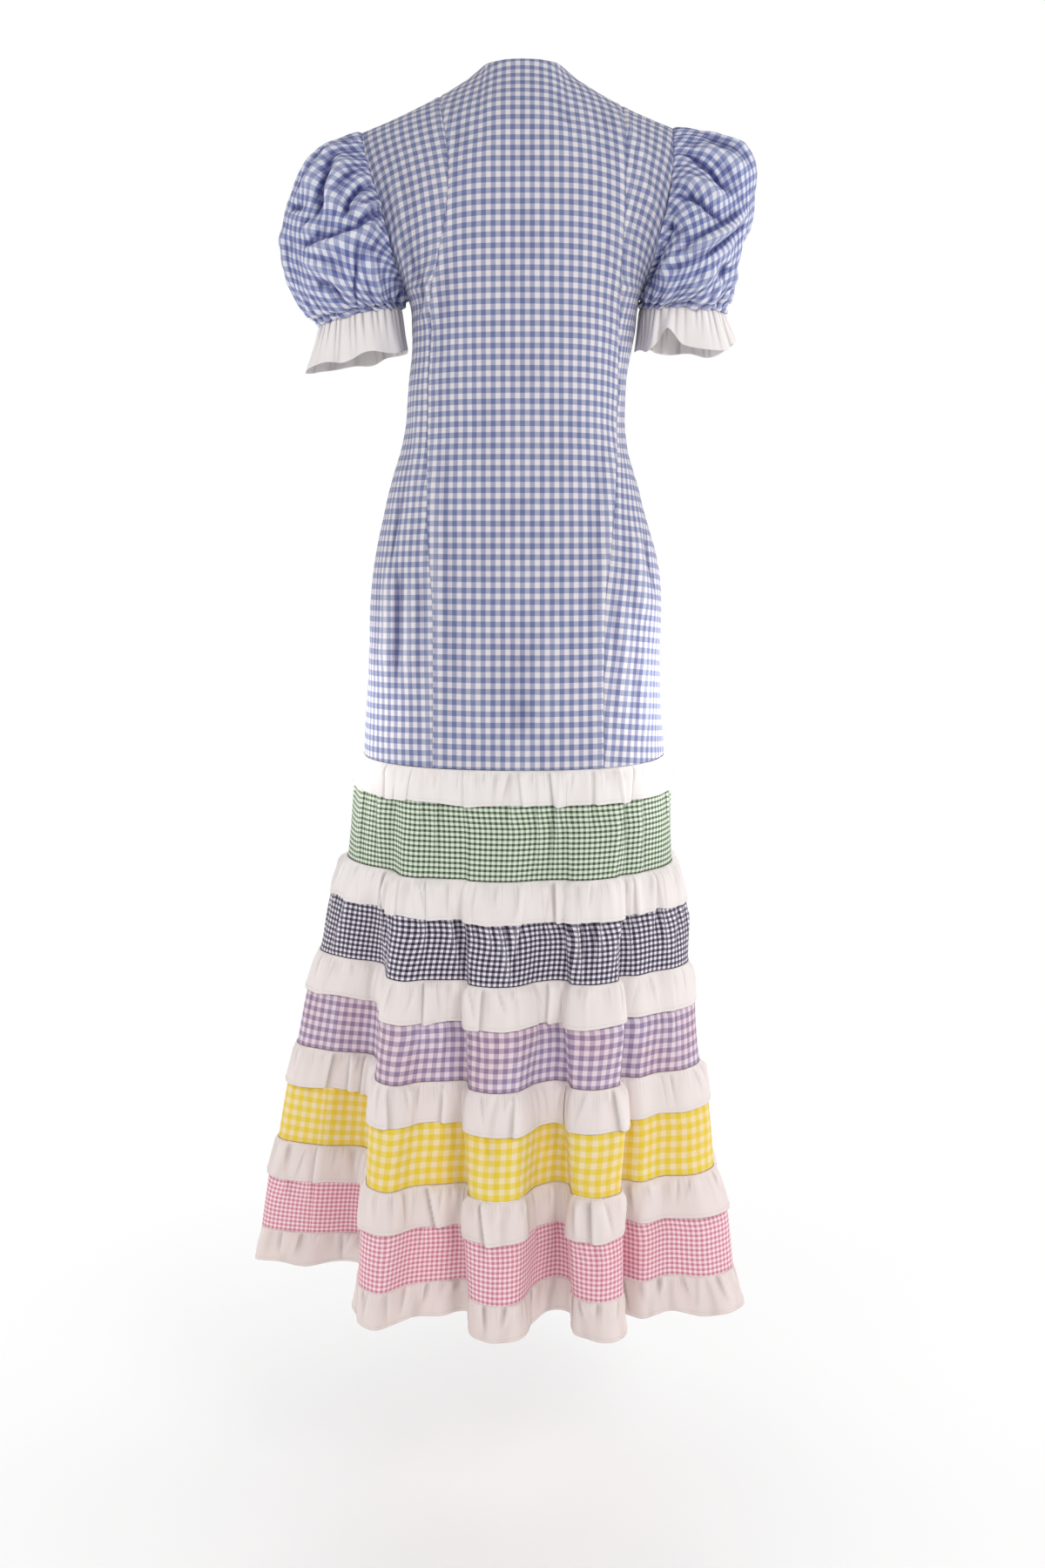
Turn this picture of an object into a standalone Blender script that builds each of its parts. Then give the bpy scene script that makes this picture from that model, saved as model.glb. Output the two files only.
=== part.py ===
"""Tiered gingham dress with puff sleeves, worn form, hollow, +Z up, front facing -Y.

The origin is the point between the shoulders where the wearer holds the dress up.
Left is the wearer's left, +X. Every piece is one wall of cloth, cut edge to cut edge.
"""
import math
from collections import namedtuple

import bpy
import bmesh
from mathutils import Vector

# Cloth and seams
CLOTH = 0.0012
SEAM_GAP = 0.0003
COLLECTION = "midi_dress"

# Heights of the seams, down from the nape
NECK_POINT_HEIGHT = 0.002
UNDERARM = -0.250
V_RISE = 0.26
V_CURVE = 0.9
V_DEPTH = UNDERARM + (NECK_POINT_HEIGHT - UNDERARM) * V_RISE
BLUE_HEM = -0.765
SKIRT_HEM = -1.344

# Neck and shoulder
NECK_HALF = 0.045
NECK_RISE = 0.048
SHOULDER_ROUND_BACK = 0.140
SHOULDER_ROUND_FRONT = 0.120
ROUNDNESS = 2.3

# How far a section of the body reaches from the middle, to each side, back and front.
# Above the underarm it is the round of the chest, which the armhole then cuts away.
Section = namedtuple("Section", "height left right back front")
BODY_SECTIONS = (
    Section(0.050, 0.215, 0.210, 0.074, 0.030),
    Section(0.000, 0.210, 0.205, 0.075, 0.040),
    Section(-0.050, 0.208, 0.200, 0.096, 0.066),
    Section(-0.100, 0.197, 0.192, 0.109, 0.088),
    Section(-0.150, 0.183, 0.182, 0.117, 0.106),
    Section(-0.200, 0.163, 0.165, 0.120, 0.120),
    Section(-0.250, 0.129, 0.133, 0.120, 0.122),
    Section(-0.300, 0.123, 0.124, 0.119, 0.113),
    Section(-0.352, 0.127, 0.116, 0.118, 0.100),
    Section(-0.415, 0.134, 0.116, 0.119, 0.096),
    Section(-0.479, 0.151, 0.132, 0.121, 0.100),
    Section(-0.566, 0.167, 0.153, 0.125, 0.108),
    Section(-0.689, 0.174, 0.154, 0.129, 0.113),
    Section(-0.765, 0.177, 0.158, 0.130, 0.114),
)

# The shoulder line, out from the neck: how far out, how high, how far back
ShoulderPoint = namedtuple("ShoulderPoint", "out height back")
SHOULDER = (
    ShoulderPoint(0.045, 0.002, 0.016),
    ShoulderPoint(0.062, -0.012, 0.014),
    ShoulderPoint(0.092, -0.030, 0.010),
    ShoulderPoint(0.140, -0.053, 0.003),
    ShoulderPoint(0.180, -0.069, 0.000),
)

# Seam lines, how far out from the middle at each height, on the left and the right
SeamPoint = namedtuple("SeamPoint", "height left right")
BACK_PRINCESS = (
    SeamPoint(0.000, 0.092, 0.111),
    SeamPoint(-0.035, 0.089, 0.111),
    SeamPoint(-0.084, 0.080, 0.113),
    SeamPoint(-0.165, 0.081, 0.111),
    SeamPoint(-0.256, 0.096, 0.106),
    SeamPoint(-0.400, 0.103, 0.104),
    SeamPoint(-0.510, 0.102, 0.098),
    SeamPoint(-0.600, 0.096, 0.088),
    SeamPoint(-0.765, 0.096, 0.086),
)
FRONT_PRINCESS = (
    SeamPoint(0.000, 0.092, 0.111),
    SeamPoint(-0.035, 0.092, 0.109),
    SeamPoint(-0.120, 0.090, 0.096),
    SeamPoint(-0.220, 0.088, 0.088),
    SeamPoint(-0.380, 0.072, 0.070),
    SeamPoint(-0.550, 0.084, 0.080),
    SeamPoint(-0.765, 0.092, 0.086),
)
ARMHOLE = (
    SeamPoint(-0.060, 0.180, 0.168),
    SeamPoint(-0.100, 0.168, 0.165),
    SeamPoint(-0.142, 0.158, 0.161),
    SeamPoint(-0.191, 0.147, 0.150),
    SeamPoint(-0.226, 0.137, 0.141),
    SeamPoint(-0.250, 0.129, 0.133),
)
SHOULDER_TIP = {1: 0.180, -1: 0.168}

# Rows of a body panel: heights below the underarm, shares of the way up above it
LOWER_ROWS = (-0.765, -0.680, -0.600, -0.520, -0.450, -0.385, -0.315)
UPPER_ROWS = (0.0, 0.13, V_RISE, 0.39, 0.52, 0.65, 0.77, 0.88, 0.96, 0.99, 1.0)
SIDE_COLUMNS = 4
NECK_COLUMNS = 4
SHOULDER_COLUMNS = 2
TOP_DRAW = 4

# Edge folds of the skirt at its hem: where the fold leaves the blue hem, in degrees
# round from the centre back towards the wearer's left, and where it stands at the hem.
Fold = namedtuple("Fold", "name turn x y")
SKIRT_FOLDS = (
    Fold("wing_wall", 64, 0.245, 0.004),
    Fold("wing_root", 46, 0.184, 0.006),
    Fold("left_edge", 40, 0.1765, 0.130),
    Fold("left_swell", 35, 0.152, 0.153),
    Fold("left_dip", 29, 0.122, 0.130),
    Fold("left_flat", 22, 0.085, 0.120),
    Fold("middle_root", 17, 0.057, 0.116),
    Fold("middle_edge", 15, 0.0545, 0.160),
    Fold("middle_crest", 9, 0.031, 0.180),
    Fold("middle_fall", 2, 0.004, 0.172),
    Fold("valley_wall", -3, -0.013, 0.127),
    Fold("valley", -9, -0.036, 0.108),
    Fold("right_root", -14, -0.0505, 0.118),
    Fold("right_edge", -16, -0.0545, 0.158),
    Fold("right_crest", -25, -0.080, 0.174),
    Fold("right_end", -35, -0.104, 0.158),
    Fold("right_under", -38, -0.103, 0.112),
    Fold("flank_crest", -46, -0.129, 0.126),
    Fold("flank_dip", -55, -0.157, 0.111),
    Fold("flank_swell", -67, -0.205, 0.118),
    Fold("flank_outer", -80, -0.236, 0.095),
    Fold("side_dip", -92, -0.226, 0.034),
    Fold("side_crest", -104, -0.235, -0.034),
    Fold("front_dip_1", -117, -0.190, -0.082),
    Fold("front_crest_1", -130, -0.178, -0.146),
    Fold("front_dip_2", -143, -0.120, -0.138),
    Fold("front_crest_2", -156, -0.080, -0.192),
    Fold("front_dip_3", -170, -0.028, -0.164),
    Fold("front_crest_3", -184, 0.028, -0.202),
    Fold("front_dip_4", -197, 0.078, -0.166),
    Fold("front_crest_4", -210, 0.128, -0.194),
    Fold("front_dip_5", -222, 0.156, -0.142),
    Fold("front_crest_5", -235, 0.214, -0.144),
    Fold("front_dip_6", -247, 0.226, -0.090),
    Fold("wing_front", -260, 0.284, -0.062),
    Fold("wing_tip", -274, 0.304, -0.012),
)
COLUMNS_PER_FOLD = 3

# How far the skirt has spread on its way to the hem, at each seam, on the left and right
Spread = namedtuple("Spread", "height left right")
SKIRT_SPREAD = (
    Spread(-0.765, 0.00, 0.00),
    Spread(-0.881, 0.15, 0.11),
    Spread(-0.988, 0.40, 0.32),
    Spread(-1.095, 0.61, 0.46),
    Spread(-1.204, 0.78, 0.64),
    Spread(-1.306, 0.93, 0.88),
    Spread(-1.344, 1.00, 1.00),
)
SPREAD_HALF_WIDTH = 0.20

# Tiers below the blue cloth, each hung from a seam that also holds a white ruffle
Tier = namedtuple("Tier", "band seam foot ruffle ruffle_foot")
TIERS = (
    Tier("band_green", -0.765, -0.881, "ruffle_1", -0.801),
    Tier("band_navy", -0.881, -0.988, "ruffle_2", -0.923),
    Tier("band_lilac", -0.988, -1.095, "ruffle_3", -1.031),
    Tier("band_yellow", -1.095, -1.204, "ruffle_4", -1.138),
    Tier("band_pink", -1.204, -1.306, "ruffle_5", -1.245),
)
HEM_RUFFLE_SEAM = -1.306
RUFFLE_SEAT = CLOTH + 2 * SEAM_GAP
RUFFLE_STAND = 0.0038
RUFFLE_WAVE = 0.0048
HEM_WAVE = 0.0060
WAVE_COLUMNS = 4
WAVE_UNEVEN = 0.25
WAVE_DRIFT = 0.9

# Sleeves: the cuff's middle, half width and depth and its tilt, how far its ruffle falls
# and flares, and how far the puff pulls out and up over the top of the arm
Sleeve = namedtuple("Sleeve", "side name cuff_x cuff_z tilt fall flare head_out head_up cuff_pull cuff_rise")
SLEEVES = (
    Sleeve(1, "left", 0.1830, -0.2760, 14.0, 0.050, 0.016, 0.088, 0.000, 0.080, 0.056),
    Sleeve(-1, "right", 0.1800, -0.2690, 4.0, 0.046, 0.014, 0.112, 0.006, 0.050, 0.100),
)
CUFF_HALF = 0.045
CUFF_DEEP = 0.048
SLEEVE_ROWS = (0.0, 0.09, 0.22, 0.38, 0.54, 0.70, 0.85, 1.0)
SLEEVE_SPLIT = 2
SLEEVE_SEAT = CLOTH + SEAM_GAP + SEAM_GAP / 2
GATHER_DEPTH = 0.0030
GATHER_EASE = 8
GATHER_LIFT = 0.3
RUFFLE_PRESSED = 0.30
RUFFLE_LEAN = 0.3

# The puff's pull at the sleeve head and at the cuff, under the arm and at the back
HEAD_UNDER = (0.005, -0.008)
HEAD_BACK = (0.036, 0.018)
HEAD_DEEP = 0.044
CUFF_UNDER = (-0.001, 0.004)
CUFF_BACK = (0.036, 0.014)
CUFF_PUFF = 0.066

# Colours as the cloth reads from a step away
BLUE = (0.33, 0.42, 0.72, 1.0)
GREEN = (0.26, 0.44, 0.29, 1.0)
NAVY = (0.20, 0.20, 0.36, 1.0)
LILAC = (0.50, 0.44, 0.68, 1.0)
YELLOW = (0.90, 0.76, 0.25, 1.0)
PINK = (0.85, 0.48, 0.62, 1.0)
WHITE = (0.88, 0.86, 0.84, 1.0)
COTTON_ROUGHNESS = 0.85


def smooth_value(keys, values, at):
    """Read a smooth curve through rising keys, flat beyond its ends."""
    if at <= keys[0]:
        return values[0]
    if at >= keys[-1]:
        return values[-1]
    low = max(i for i, key in enumerate(keys) if key <= at)
    high = low + 1

    def slope(index):
        before, after = max(index - 1, 0), min(index + 1, len(keys) - 1)
        return (values[after] - values[before]) / (keys[after] - keys[before])

    step = keys[high] - keys[low]
    t = (at - keys[low]) / step
    ease = t * t * (3 - 2 * t)
    start_pull = t * (1 - t) ** 2 * step * slope(low)
    end_pull = t * t * (t - 1) * step * slope(high)
    return values[low] + (values[high] - values[low]) * ease + start_pull + end_pull


def read_table(table, key, column, at):
    """Read one named column of a table at a place along its key column."""
    rows = sorted(table, key=lambda row: getattr(row, key))
    return smooth_value([getattr(row, key) for row in rows], [getattr(row, column) for row in rows], at)


def body_reach(side, height):
    """Half width of the body's section on one side."""
    return read_table(BODY_SECTIONS, "height", "left" if side > 0 else "right", height)


def seam_out(table, side, height):
    """How far out a seam lies from the middle on one side."""
    return read_table(table, "height", "left" if side > 0 else "right", height)


def shoulder_height(out):
    """Height of the shoulder line, which runs on up as a neck inside the neckline."""
    if out < NECK_HALF:
        return NECK_POINT_HEIGHT + NECK_RISE * (1 - (out / NECK_HALF) ** 2)
    return read_table(SHOULDER, "out", "height", out)


def sheet_point(facing, side, out, height, top_out):
    """A point of the blue cloth. Facing 1 is the back, and top_out is where its column ends."""
    share = min(out / body_reach(side, height), 1.0)
    deep = (1 - share ** ROUNDNESS) ** (1 / ROUNDNESS)
    depth = read_table(BODY_SECTIONS, "height", "back" if facing > 0 else "front", height)
    base = read_table(SHOULDER, "out", "back", max(top_out, NECK_HALF))
    rounding = SHOULDER_ROUND_BACK if facing > 0 else SHOULDER_ROUND_FRONT
    near = min(max((shoulder_height(top_out) - height) / rounding, 0.0), 1.0)
    settle = math.sqrt(1 - (1 - near) ** 2)
    y = base * (1 - settle) + facing * depth * deep * settle
    return Vector((side * out, y, height))


def angle_at(side, out, height):
    """The angle round the section at which the cloth lies this far out."""
    share = min(max(out / body_reach(side, height), 0.0), 1.0)
    return math.asin(share ** (ROUNDNESS / 2))


def v_neck_out(height):
    """Half width of the V neck at a height, nothing below its point."""
    share = (height - V_DEPTH) / (NECK_POINT_HEIGHT - V_DEPTH)
    return NECK_HALF * max(share, 0.0) ** V_CURVE


def spread_out(side, height, inner, outer, share):
    """How far out a point lies a share of the way round from an inner to an outer line."""
    low = angle_at(side, inner, height)
    high = angle_at(side, outer, height)
    return body_reach(side, height) * math.sin(low + (high - low) * share) ** (2 / ROUNDNESS)


def lower_point(facing, side, height, inner, outer, share):
    """A point of a panel below the underarm."""
    out = spread_out(side, height, inner, outer, share)
    return sheet_point(facing, side, out, height, NECK_HALF)


def upper_point(facing, side, height, inner, outer, share, rise, top_out):
    """A point of a panel above the underarm, drawn to its place on the shoulder or neck."""
    out = spread_out(side, height, inner, outer, share)
    out += (top_out - out) * rise ** TOP_DRAW
    return sheet_point(facing, side, out, height, top_out)


def outer_line(side, height):
    """The armhole above the underarm and the side seam below it."""
    if height > UNDERARM:
        return seam_out(ARMHOLE, side, height)
    return body_reach(side, height)


def side_panel(facing, side):
    """Rows of points of a side panel, from the blue hem up to the shoulder."""
    table = BACK_PRINCESS if facing > 0 else FRONT_PRINCESS
    princess_top = seam_out(table, side, 0.0)
    rows = []
    for height in LOWER_ROWS:
        shares = [i / SIDE_COLUMNS for i in range(SIDE_COLUMNS + 1)]
        inner = seam_out(table, side, height)
        outer = body_reach(side, height)
        rows.append([lower_point(facing, side, height, inner, outer, share) for share in shares])
    for rise in UPPER_ROWS:
        row = []
        for i in range(SIDE_COLUMNS + 1):
            share = i / SIDE_COLUMNS
            top_out = princess_top + (SHOULDER_TIP[side] - princess_top) * share
            height = UNDERARM + (shoulder_height(top_out) - UNDERARM) * rise
            inner = seam_out(table, side, height)
            outer = outer_line(side, height)
            row.append(upper_point(facing, side, height, inner, outer, share, rise, top_out))
        rows.append(row)
    return rows


def center_half(facing, side):
    """Rows of one half of a centre panel, from the middle out to the princess seam."""
    table = BACK_PRINCESS if facing > 0 else FRONT_PRINCESS
    princess_top = seam_out(table, side, 0.0)
    neck_share = NECK_HALF / princess_top
    if facing > 0:
        shares = [neck_share * i / NECK_COLUMNS for i in range(NECK_COLUMNS)]
        columns = SHOULDER_COLUMNS
    else:
        shares = []
        columns = NECK_COLUMNS + SHOULDER_COLUMNS
    first = neck_share if facing > 0 else 0.0
    shares += [first + (1 - first) * i / columns for i in range(columns + 1)]
    rows = []
    for height in LOWER_ROWS:
        outer = seam_out(table, side, height)
        rows.append([lower_point(facing, side, height, 0.0, outer, share) for share in shares])
    for rise in UPPER_ROWS:
        row = []
        for share in shares:
            if facing > 0:
                top_out = princess_top * share
            else:
                top_out = NECK_HALF + (princess_top - NECK_HALF) * share
            top = shoulder_height(max(top_out, NECK_HALF))
            height = UNDERARM + (top - UNDERARM) * rise
            inner = v_neck_out(height) if facing < 0 else 0.0
            outer = seam_out(table, side, height)
            row.append(upper_point(facing, side, height, inner, outer, share, rise, top_out))
        rows.append(row)
    return rows


def pull_back_edges(rows, ends, top, foot):
    """Draw the cut edges of a panel in by half a seam gap, so that neighbours stay apart."""
    half = SEAM_GAP / 2
    moved = [[point.copy() for point in row] for row in rows]
    for row in moved:
        if ends[0]:
            row[0] += (row[1] - row[0]).normalized() * half
        if ends[1]:
            row[-1] += (row[-2] - row[-1]).normalized() * half
    for i in range(len(rows[0])):
        if top:
            moved[-1][i] += (rows[-2][i] - rows[-1][i]).normalized() * half
        if foot:
            moved[0][i] += (rows[1][i] - rows[0][i]).normalized() * half
    return moved


def section_point(turn, height):
    """A point of the body's full section, turned from the centre back towards the left."""
    angle = math.radians(turn)
    side = 1 if math.sin(angle) >= 0 else -1
    facing = 1 if math.cos(angle) >= 0 else -1
    out = body_reach(side, height) * abs(math.sin(angle)) ** (2 / ROUNDNESS)
    return sheet_point(facing, side, out, height, NECK_HALF)


def skirt_columns():
    """Turn at the blue hem and place at the skirt's hem of every column, all round."""
    count = len(SKIRT_FOLDS)
    places = [Vector((fold.x, fold.y)) for fold in SKIRT_FOLDS]
    lengths = [(places[(i + 1) % count] - places[i]).length for i in range(count)]
    columns = []
    for i in range(count):
        nxt = (i + 1) % count
        before = (places[nxt] - places[i - 1]) / (lengths[i] + lengths[i - 1])
        after = (places[(i + 2) % count] - places[i]) / (lengths[i] + lengths[nxt])
        start_turn = SKIRT_FOLDS[i].turn
        end_turn = SKIRT_FOLDS[nxt].turn - (360 if nxt == 0 else 0)
        for k in range(COLUMNS_PER_FOLD):
            t = k / COLUMNS_PER_FOLD
            ease = t * t * (3 - 2 * t)
            place = places[i].lerp(places[nxt], ease)
            place += before * (lengths[i] * t * (1 - t) ** 2)
            place += after * (lengths[i] * t * t * (t - 1))
            columns.append((start_turn + (end_turn - start_turn) * t, place))
    return columns


def spread_at(height, place):
    """How far the skirt has spread here, straight between one seam and the next."""
    above, below = next(pair for pair in zip(SKIRT_SPREAD, SKIRT_SPREAD[1:]) if pair[1].height <= height)
    t = (above.height - height) / (above.height - below.height)
    leftness = min(max(0.5 + 0.5 * place.x / SPREAD_HALF_WIDTH, 0.0), 1.0)
    start = above.right + (above.left - above.right) * leftness
    end = below.right + (below.left - below.right) * leftness
    return start + (end - start) * t


def skirt_ring(height, outs):
    """A ring of the skirt at one height, each column moved out by its own amount."""
    ring = []
    for turn, place in skirt_columns():
        start = section_point(turn, BLUE_HEM).xy
        ring.append(start.lerp(place, spread_at(height, place)))
    count = len(ring)
    moved = []
    for i, point in enumerate(ring):
        along = ring[(i + 1) % count] - ring[i - 1]
        outward = Vector((along.y, -along.x)).normalized()
        place = point + outward * outs[i]
        moved.append(Vector((place.x, place.y, height)))
    return moved


def ruffle_waves(count, phase, stand, wave):
    """How far each column of a gathered edge stands out, in rounded waves."""
    outs = []
    for i in range(count):
        swing = 0.5 + 0.5 * math.cos(2 * math.pi * (i + phase) / WAVE_COLUMNS)
        uneven = 1 - WAVE_UNEVEN + WAVE_UNEVEN * math.sin(i * WAVE_DRIFT + phase)
        outs.append(stand + wave * swing * uneven)
    return outs


def armhole_ring(side):
    """The armhole's points, up the back from the underarm, over the shoulder, down the front."""
    back = [row[-1] for row in side_panel(1, side)[len(LOWER_ROWS):]]
    front = [row[-1] for row in side_panel(-1, side)[len(LOWER_ROWS):]]
    corners = back + front[-2:0:-1]
    ring = []
    for i, corner in enumerate(corners):
        nxt = corners[(i + 1) % len(corners)]
        ring += [corner.lerp(nxt, k / SLEEVE_SPLIT) for k in range(SLEEVE_SPLIT)]
    return ring


def puff_pull(side, over, under, behind, deep, top, back):
    """The pull on a sleeve's cloth, blended round the arm from its top, underside and back."""
    along = over if top > 0 else under
    out, up = (a * top * top + b * back * back for a, b in zip(along, behind))
    return Vector((side * out, deep * back, up))


def sleeve_rings(sleeve):
    """Rings of a puff sleeve, from the armhole to the cuff."""
    start = [point + Vector((sleeve.side * SLEEVE_SEAT, 0, 0)) for point in armhole_ring(sleeve.side)]
    count = len(start)
    tilt = math.radians(sleeve.tilt)
    across = Vector((sleeve.side * math.cos(tilt), 0, -math.sin(tilt)))
    middle = Vector((sleeve.side * sleeve.cuff_x, 0, sleeve.cuff_z))
    lengths = [(start[(i + 1) % count] - start[i]).length for i in range(count)]
    total = sum(lengths)
    rings = [[] for _ in SLEEVE_ROWS]
    gone = 0.0
    for i, head in enumerate(start):
        turn = 2 * math.pi * gone / total
        gone += lengths[i]
        top, back = -math.cos(turn), math.sin(turn)
        cuff = middle + across * (CUFF_HALF * top) + Vector((0, CUFF_DEEP * back, 0))
        over_head = (sleeve.head_out, sleeve.head_up)
        over_cuff = (sleeve.cuff_pull, sleeve.cuff_rise)
        near_head = head + puff_pull(sleeve.side, over_head, HEAD_UNDER, HEAD_BACK, HEAD_DEEP, top, back)
        near_cuff = cuff + puff_pull(sleeve.side, over_cuff, CUFF_UNDER, CUFF_BACK, CUFF_PUFF, top, back)
        ripple = math.cos(2 * math.pi * i / WAVE_COLUMNS)
        for row, t in enumerate(SLEEVE_ROWS):
            point = head * (1 - t) ** 3 + near_head * (3 * t * (1 - t) ** 2)
            point += near_cuff * (3 * t * t * (1 - t)) + cuff * t ** 3
            gather = GATHER_DEPTH * ripple * abs(math.cos(math.pi * t)) * min(1.0, GATHER_EASE * t * (1 - t))
            outward = Vector((sleeve.side * max(top, 0.0), back, GATHER_LIFT * top))
            rings[row].append(point + outward.normalized() * gather)
    return rings


def sleeve_ruffle_rings(sleeve):
    """Rings of a cuff's ruffle, from the cuff down to its free edge."""
    cuff = sleeve_rings(sleeve)[-1]
    count = len(cuff)
    middle = sum(cuff, Vector()) / count
    tilt = math.radians(sleeve.tilt)
    down = Vector((-sleeve.side * math.sin(tilt) * RUFFLE_LEAN, 0, -1)).normalized()
    waves = ruffle_waves(count, 1, 0.0, HEM_WAVE)
    rings = [[], []]
    for i, point in enumerate(cuff):
        outward = point - middle
        outward.z = 0
        outward.normalize()
        free = RUFFLE_PRESSED + (1 - RUFFLE_PRESSED) * (1 + sleeve.side * outward.x) / 2
        spread = (sleeve.flare + waves[i] - HEM_WAVE / 2) * free
        rings[0].append(point + down * SEAM_GAP * 2)
        rings[1].append(point + down * sleeve.fall + outward * spread)
    return rings


def cotton(name, colour):
    """A plain cotton material of one colour."""
    material = bpy.data.materials.new(name)
    material.use_nodes = True
    shader = material.node_tree.nodes["Principled BSDF"]
    shader.inputs["Base Color"].default_value = colour
    shader.inputs["Roughness"].default_value = COTTON_ROUGHNESS
    shader.inputs["Metallic"].default_value = 0.0
    return material


def cloth_wall(name, grids, closed, colour):
    """Make one piece of cloth from grids of points, and give it its thickness."""
    mesh = bpy.data.meshes.new(name)
    surface = bmesh.new()
    for rows in grids:
        verts = [[surface.verts.new(point) for point in row] for row in rows]
        width = len(rows[0])
        for low, high in zip(verts, verts[1:]):
            for i in range(width if closed else width - 1):
                j = (i + 1) % width
                surface.faces.new((low[i], low[j], high[j], high[i]))
    bmesh.ops.remove_doubles(surface, verts=surface.verts, dist=SEAM_GAP / 10)
    bmesh.ops.recalc_face_normals(surface, faces=surface.faces)
    surface.to_mesh(mesh)
    surface.free()
    mesh.shade_smooth()
    piece = bpy.data.objects.new(name, mesh)
    bpy.data.collections[COLLECTION].objects.link(piece)
    piece.data.materials.append(cotton(name + "_cloth", colour))
    wall = piece.modifiers.new("wall", "SOLIDIFY")
    wall.thickness = CLOTH
    wall.offset = 0.0
    wall.use_rim = True
    return piece


def build_bodice():
    """The six blue panels, neck and shoulders to the thigh."""
    for facing, face in ((1, "back"), (-1, "front")):
        halves = []
        for side in (1, -1):
            rows = pull_back_edges(center_half(facing, side), (False, True), True, True)
            halves.append(rows)
        cloth_wall(f"bodice_{face}_center", halves, False, BLUE)
        for side, hand in ((1, "left"), (-1, "right")):
            rows = pull_back_edges(side_panel(facing, side), (True, True), True, True)
            cloth_wall(f"bodice_{face}_side_{hand}", [rows], False, BLUE)


def build_sleeves():
    """Two puff sleeves, each with the white ruffle on its cuff."""
    for sleeve in SLEEVES:
        cloth_wall(f"sleeve_{sleeve.name}", [sleeve_rings(sleeve)], True, BLUE)
        cloth_wall(f"sleeve_ruffle_{sleeve.name}", [sleeve_ruffle_rings(sleeve)], True, WHITE)


def build_skirt():
    """Five gathered tiers, a white ruffle over each seam and one on the hem."""
    count = len(SKIRT_FOLDS) * COLUMNS_PER_FOLD
    flat = [0.0] * count
    half = SEAM_GAP / 2
    colours = (GREEN, NAVY, LILAC, YELLOW, PINK)
    for i, (tier, colour) in enumerate(zip(TIERS, colours)):
        band = [skirt_ring(tier.foot + half, flat), skirt_ring(tier.seam - half, flat)]
        cloth_wall(tier.band, [band], True, colour)
        seated = [RUFFLE_SEAT] * count
        free = ruffle_waves(count, i, RUFFLE_STAND, RUFFLE_WAVE)
        ruffle = [skirt_ring(tier.ruffle_foot, free), skirt_ring(tier.seam - 2 * SEAM_GAP, seated)]
        cloth_wall(tier.ruffle, [ruffle], True, WHITE)
    free = ruffle_waves(count, len(TIERS), -HEM_WAVE / 2, HEM_WAVE)
    hem = [skirt_ring(SKIRT_HEM, free), skirt_ring(HEM_RUFFLE_SEAM - half, flat)]
    cloth_wall("ruffle_6", [hem], True, WHITE)


def main():
    """Clear the scene and make the dress."""
    for old in list(bpy.data.objects):
        bpy.data.objects.remove(old, do_unlink=True)
    collection = bpy.data.collections.new(COLLECTION)
    bpy.context.scene.collection.children.link(collection)
    build_bodice()
    build_sleeves()
    build_skirt()


main()
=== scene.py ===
"""Looks of a tiered gingham dress with puff sleeves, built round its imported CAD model.

Every piece of cloth is a thin shell on the form of its CAD node: a grid of points worked out
from the same sizes, pushed in and out by gathers and creases, with its weave laid on in metres.
Left is the wearer's left, +X. The back of the dress faces +Y.
"""

import itertools
import logging
import math
from collections.abc import Callable, Sequence
from dataclasses import dataclass, field, replace
from enum import Enum

import bmesh
import bpy
import numpy as np
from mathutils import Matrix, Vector


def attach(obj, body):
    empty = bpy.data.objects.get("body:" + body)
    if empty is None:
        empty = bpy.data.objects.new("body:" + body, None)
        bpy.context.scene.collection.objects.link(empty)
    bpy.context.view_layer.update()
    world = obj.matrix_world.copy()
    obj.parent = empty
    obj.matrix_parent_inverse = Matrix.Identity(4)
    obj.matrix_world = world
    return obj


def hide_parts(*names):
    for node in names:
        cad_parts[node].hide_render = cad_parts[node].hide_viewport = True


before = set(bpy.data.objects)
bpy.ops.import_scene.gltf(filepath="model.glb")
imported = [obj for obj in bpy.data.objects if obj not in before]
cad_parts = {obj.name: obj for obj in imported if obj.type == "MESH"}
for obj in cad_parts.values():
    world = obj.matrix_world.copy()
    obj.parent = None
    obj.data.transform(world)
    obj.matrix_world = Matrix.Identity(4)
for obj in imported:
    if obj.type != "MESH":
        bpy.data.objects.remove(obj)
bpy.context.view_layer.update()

Array = np.ndarray
Socket = bpy.types.NodeSocket
Piece = bpy.types.Object
Material = bpy.types.Material
Lines = Callable[[Array], tuple[Array, Array]]

log = logging.getLogger("midi_dress")

BODY = "root"
CLOTH = 0.0005
SAME_POINT = 0.00001
WEAVE_MAP = "weave"
# Point attribute of each point's relief, which the finishes turn into painted shade in hollows and painted
# highlight on crests.
PAINTED_SHADE_AND_HIGHLIGHT = "relief"
RELIEF_DEPTH = 0.0016
RELIEF_REACH = 4
STITCH_OUT = 0.00045
HASH_STEPS = (73856093, 19349663, 83492791)
HASH_SEED = 2654435761
HASH_SPAN = 2 ** 31


class Word(Enum):
    """A choice that is also part of the nodes' names."""

    def word(self) -> str:
        """The name as the nodes write it."""
        return self.name.lower()


class Face(Word):
    """Which way a panel of the body faces."""

    BACK = 1
    FRONT = -1


class Side(Word):
    """The wearer's side."""

    LEFT = 1
    RIGHT = -1


class CreaseShape(Enum):
    """How a crease runs across: rounded, narrow and peaked, or a step with one steep side."""

    SOFT = "soft"
    SHARP = "sharp"
    STEP = "step"


# Smooth curves and noise


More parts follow.
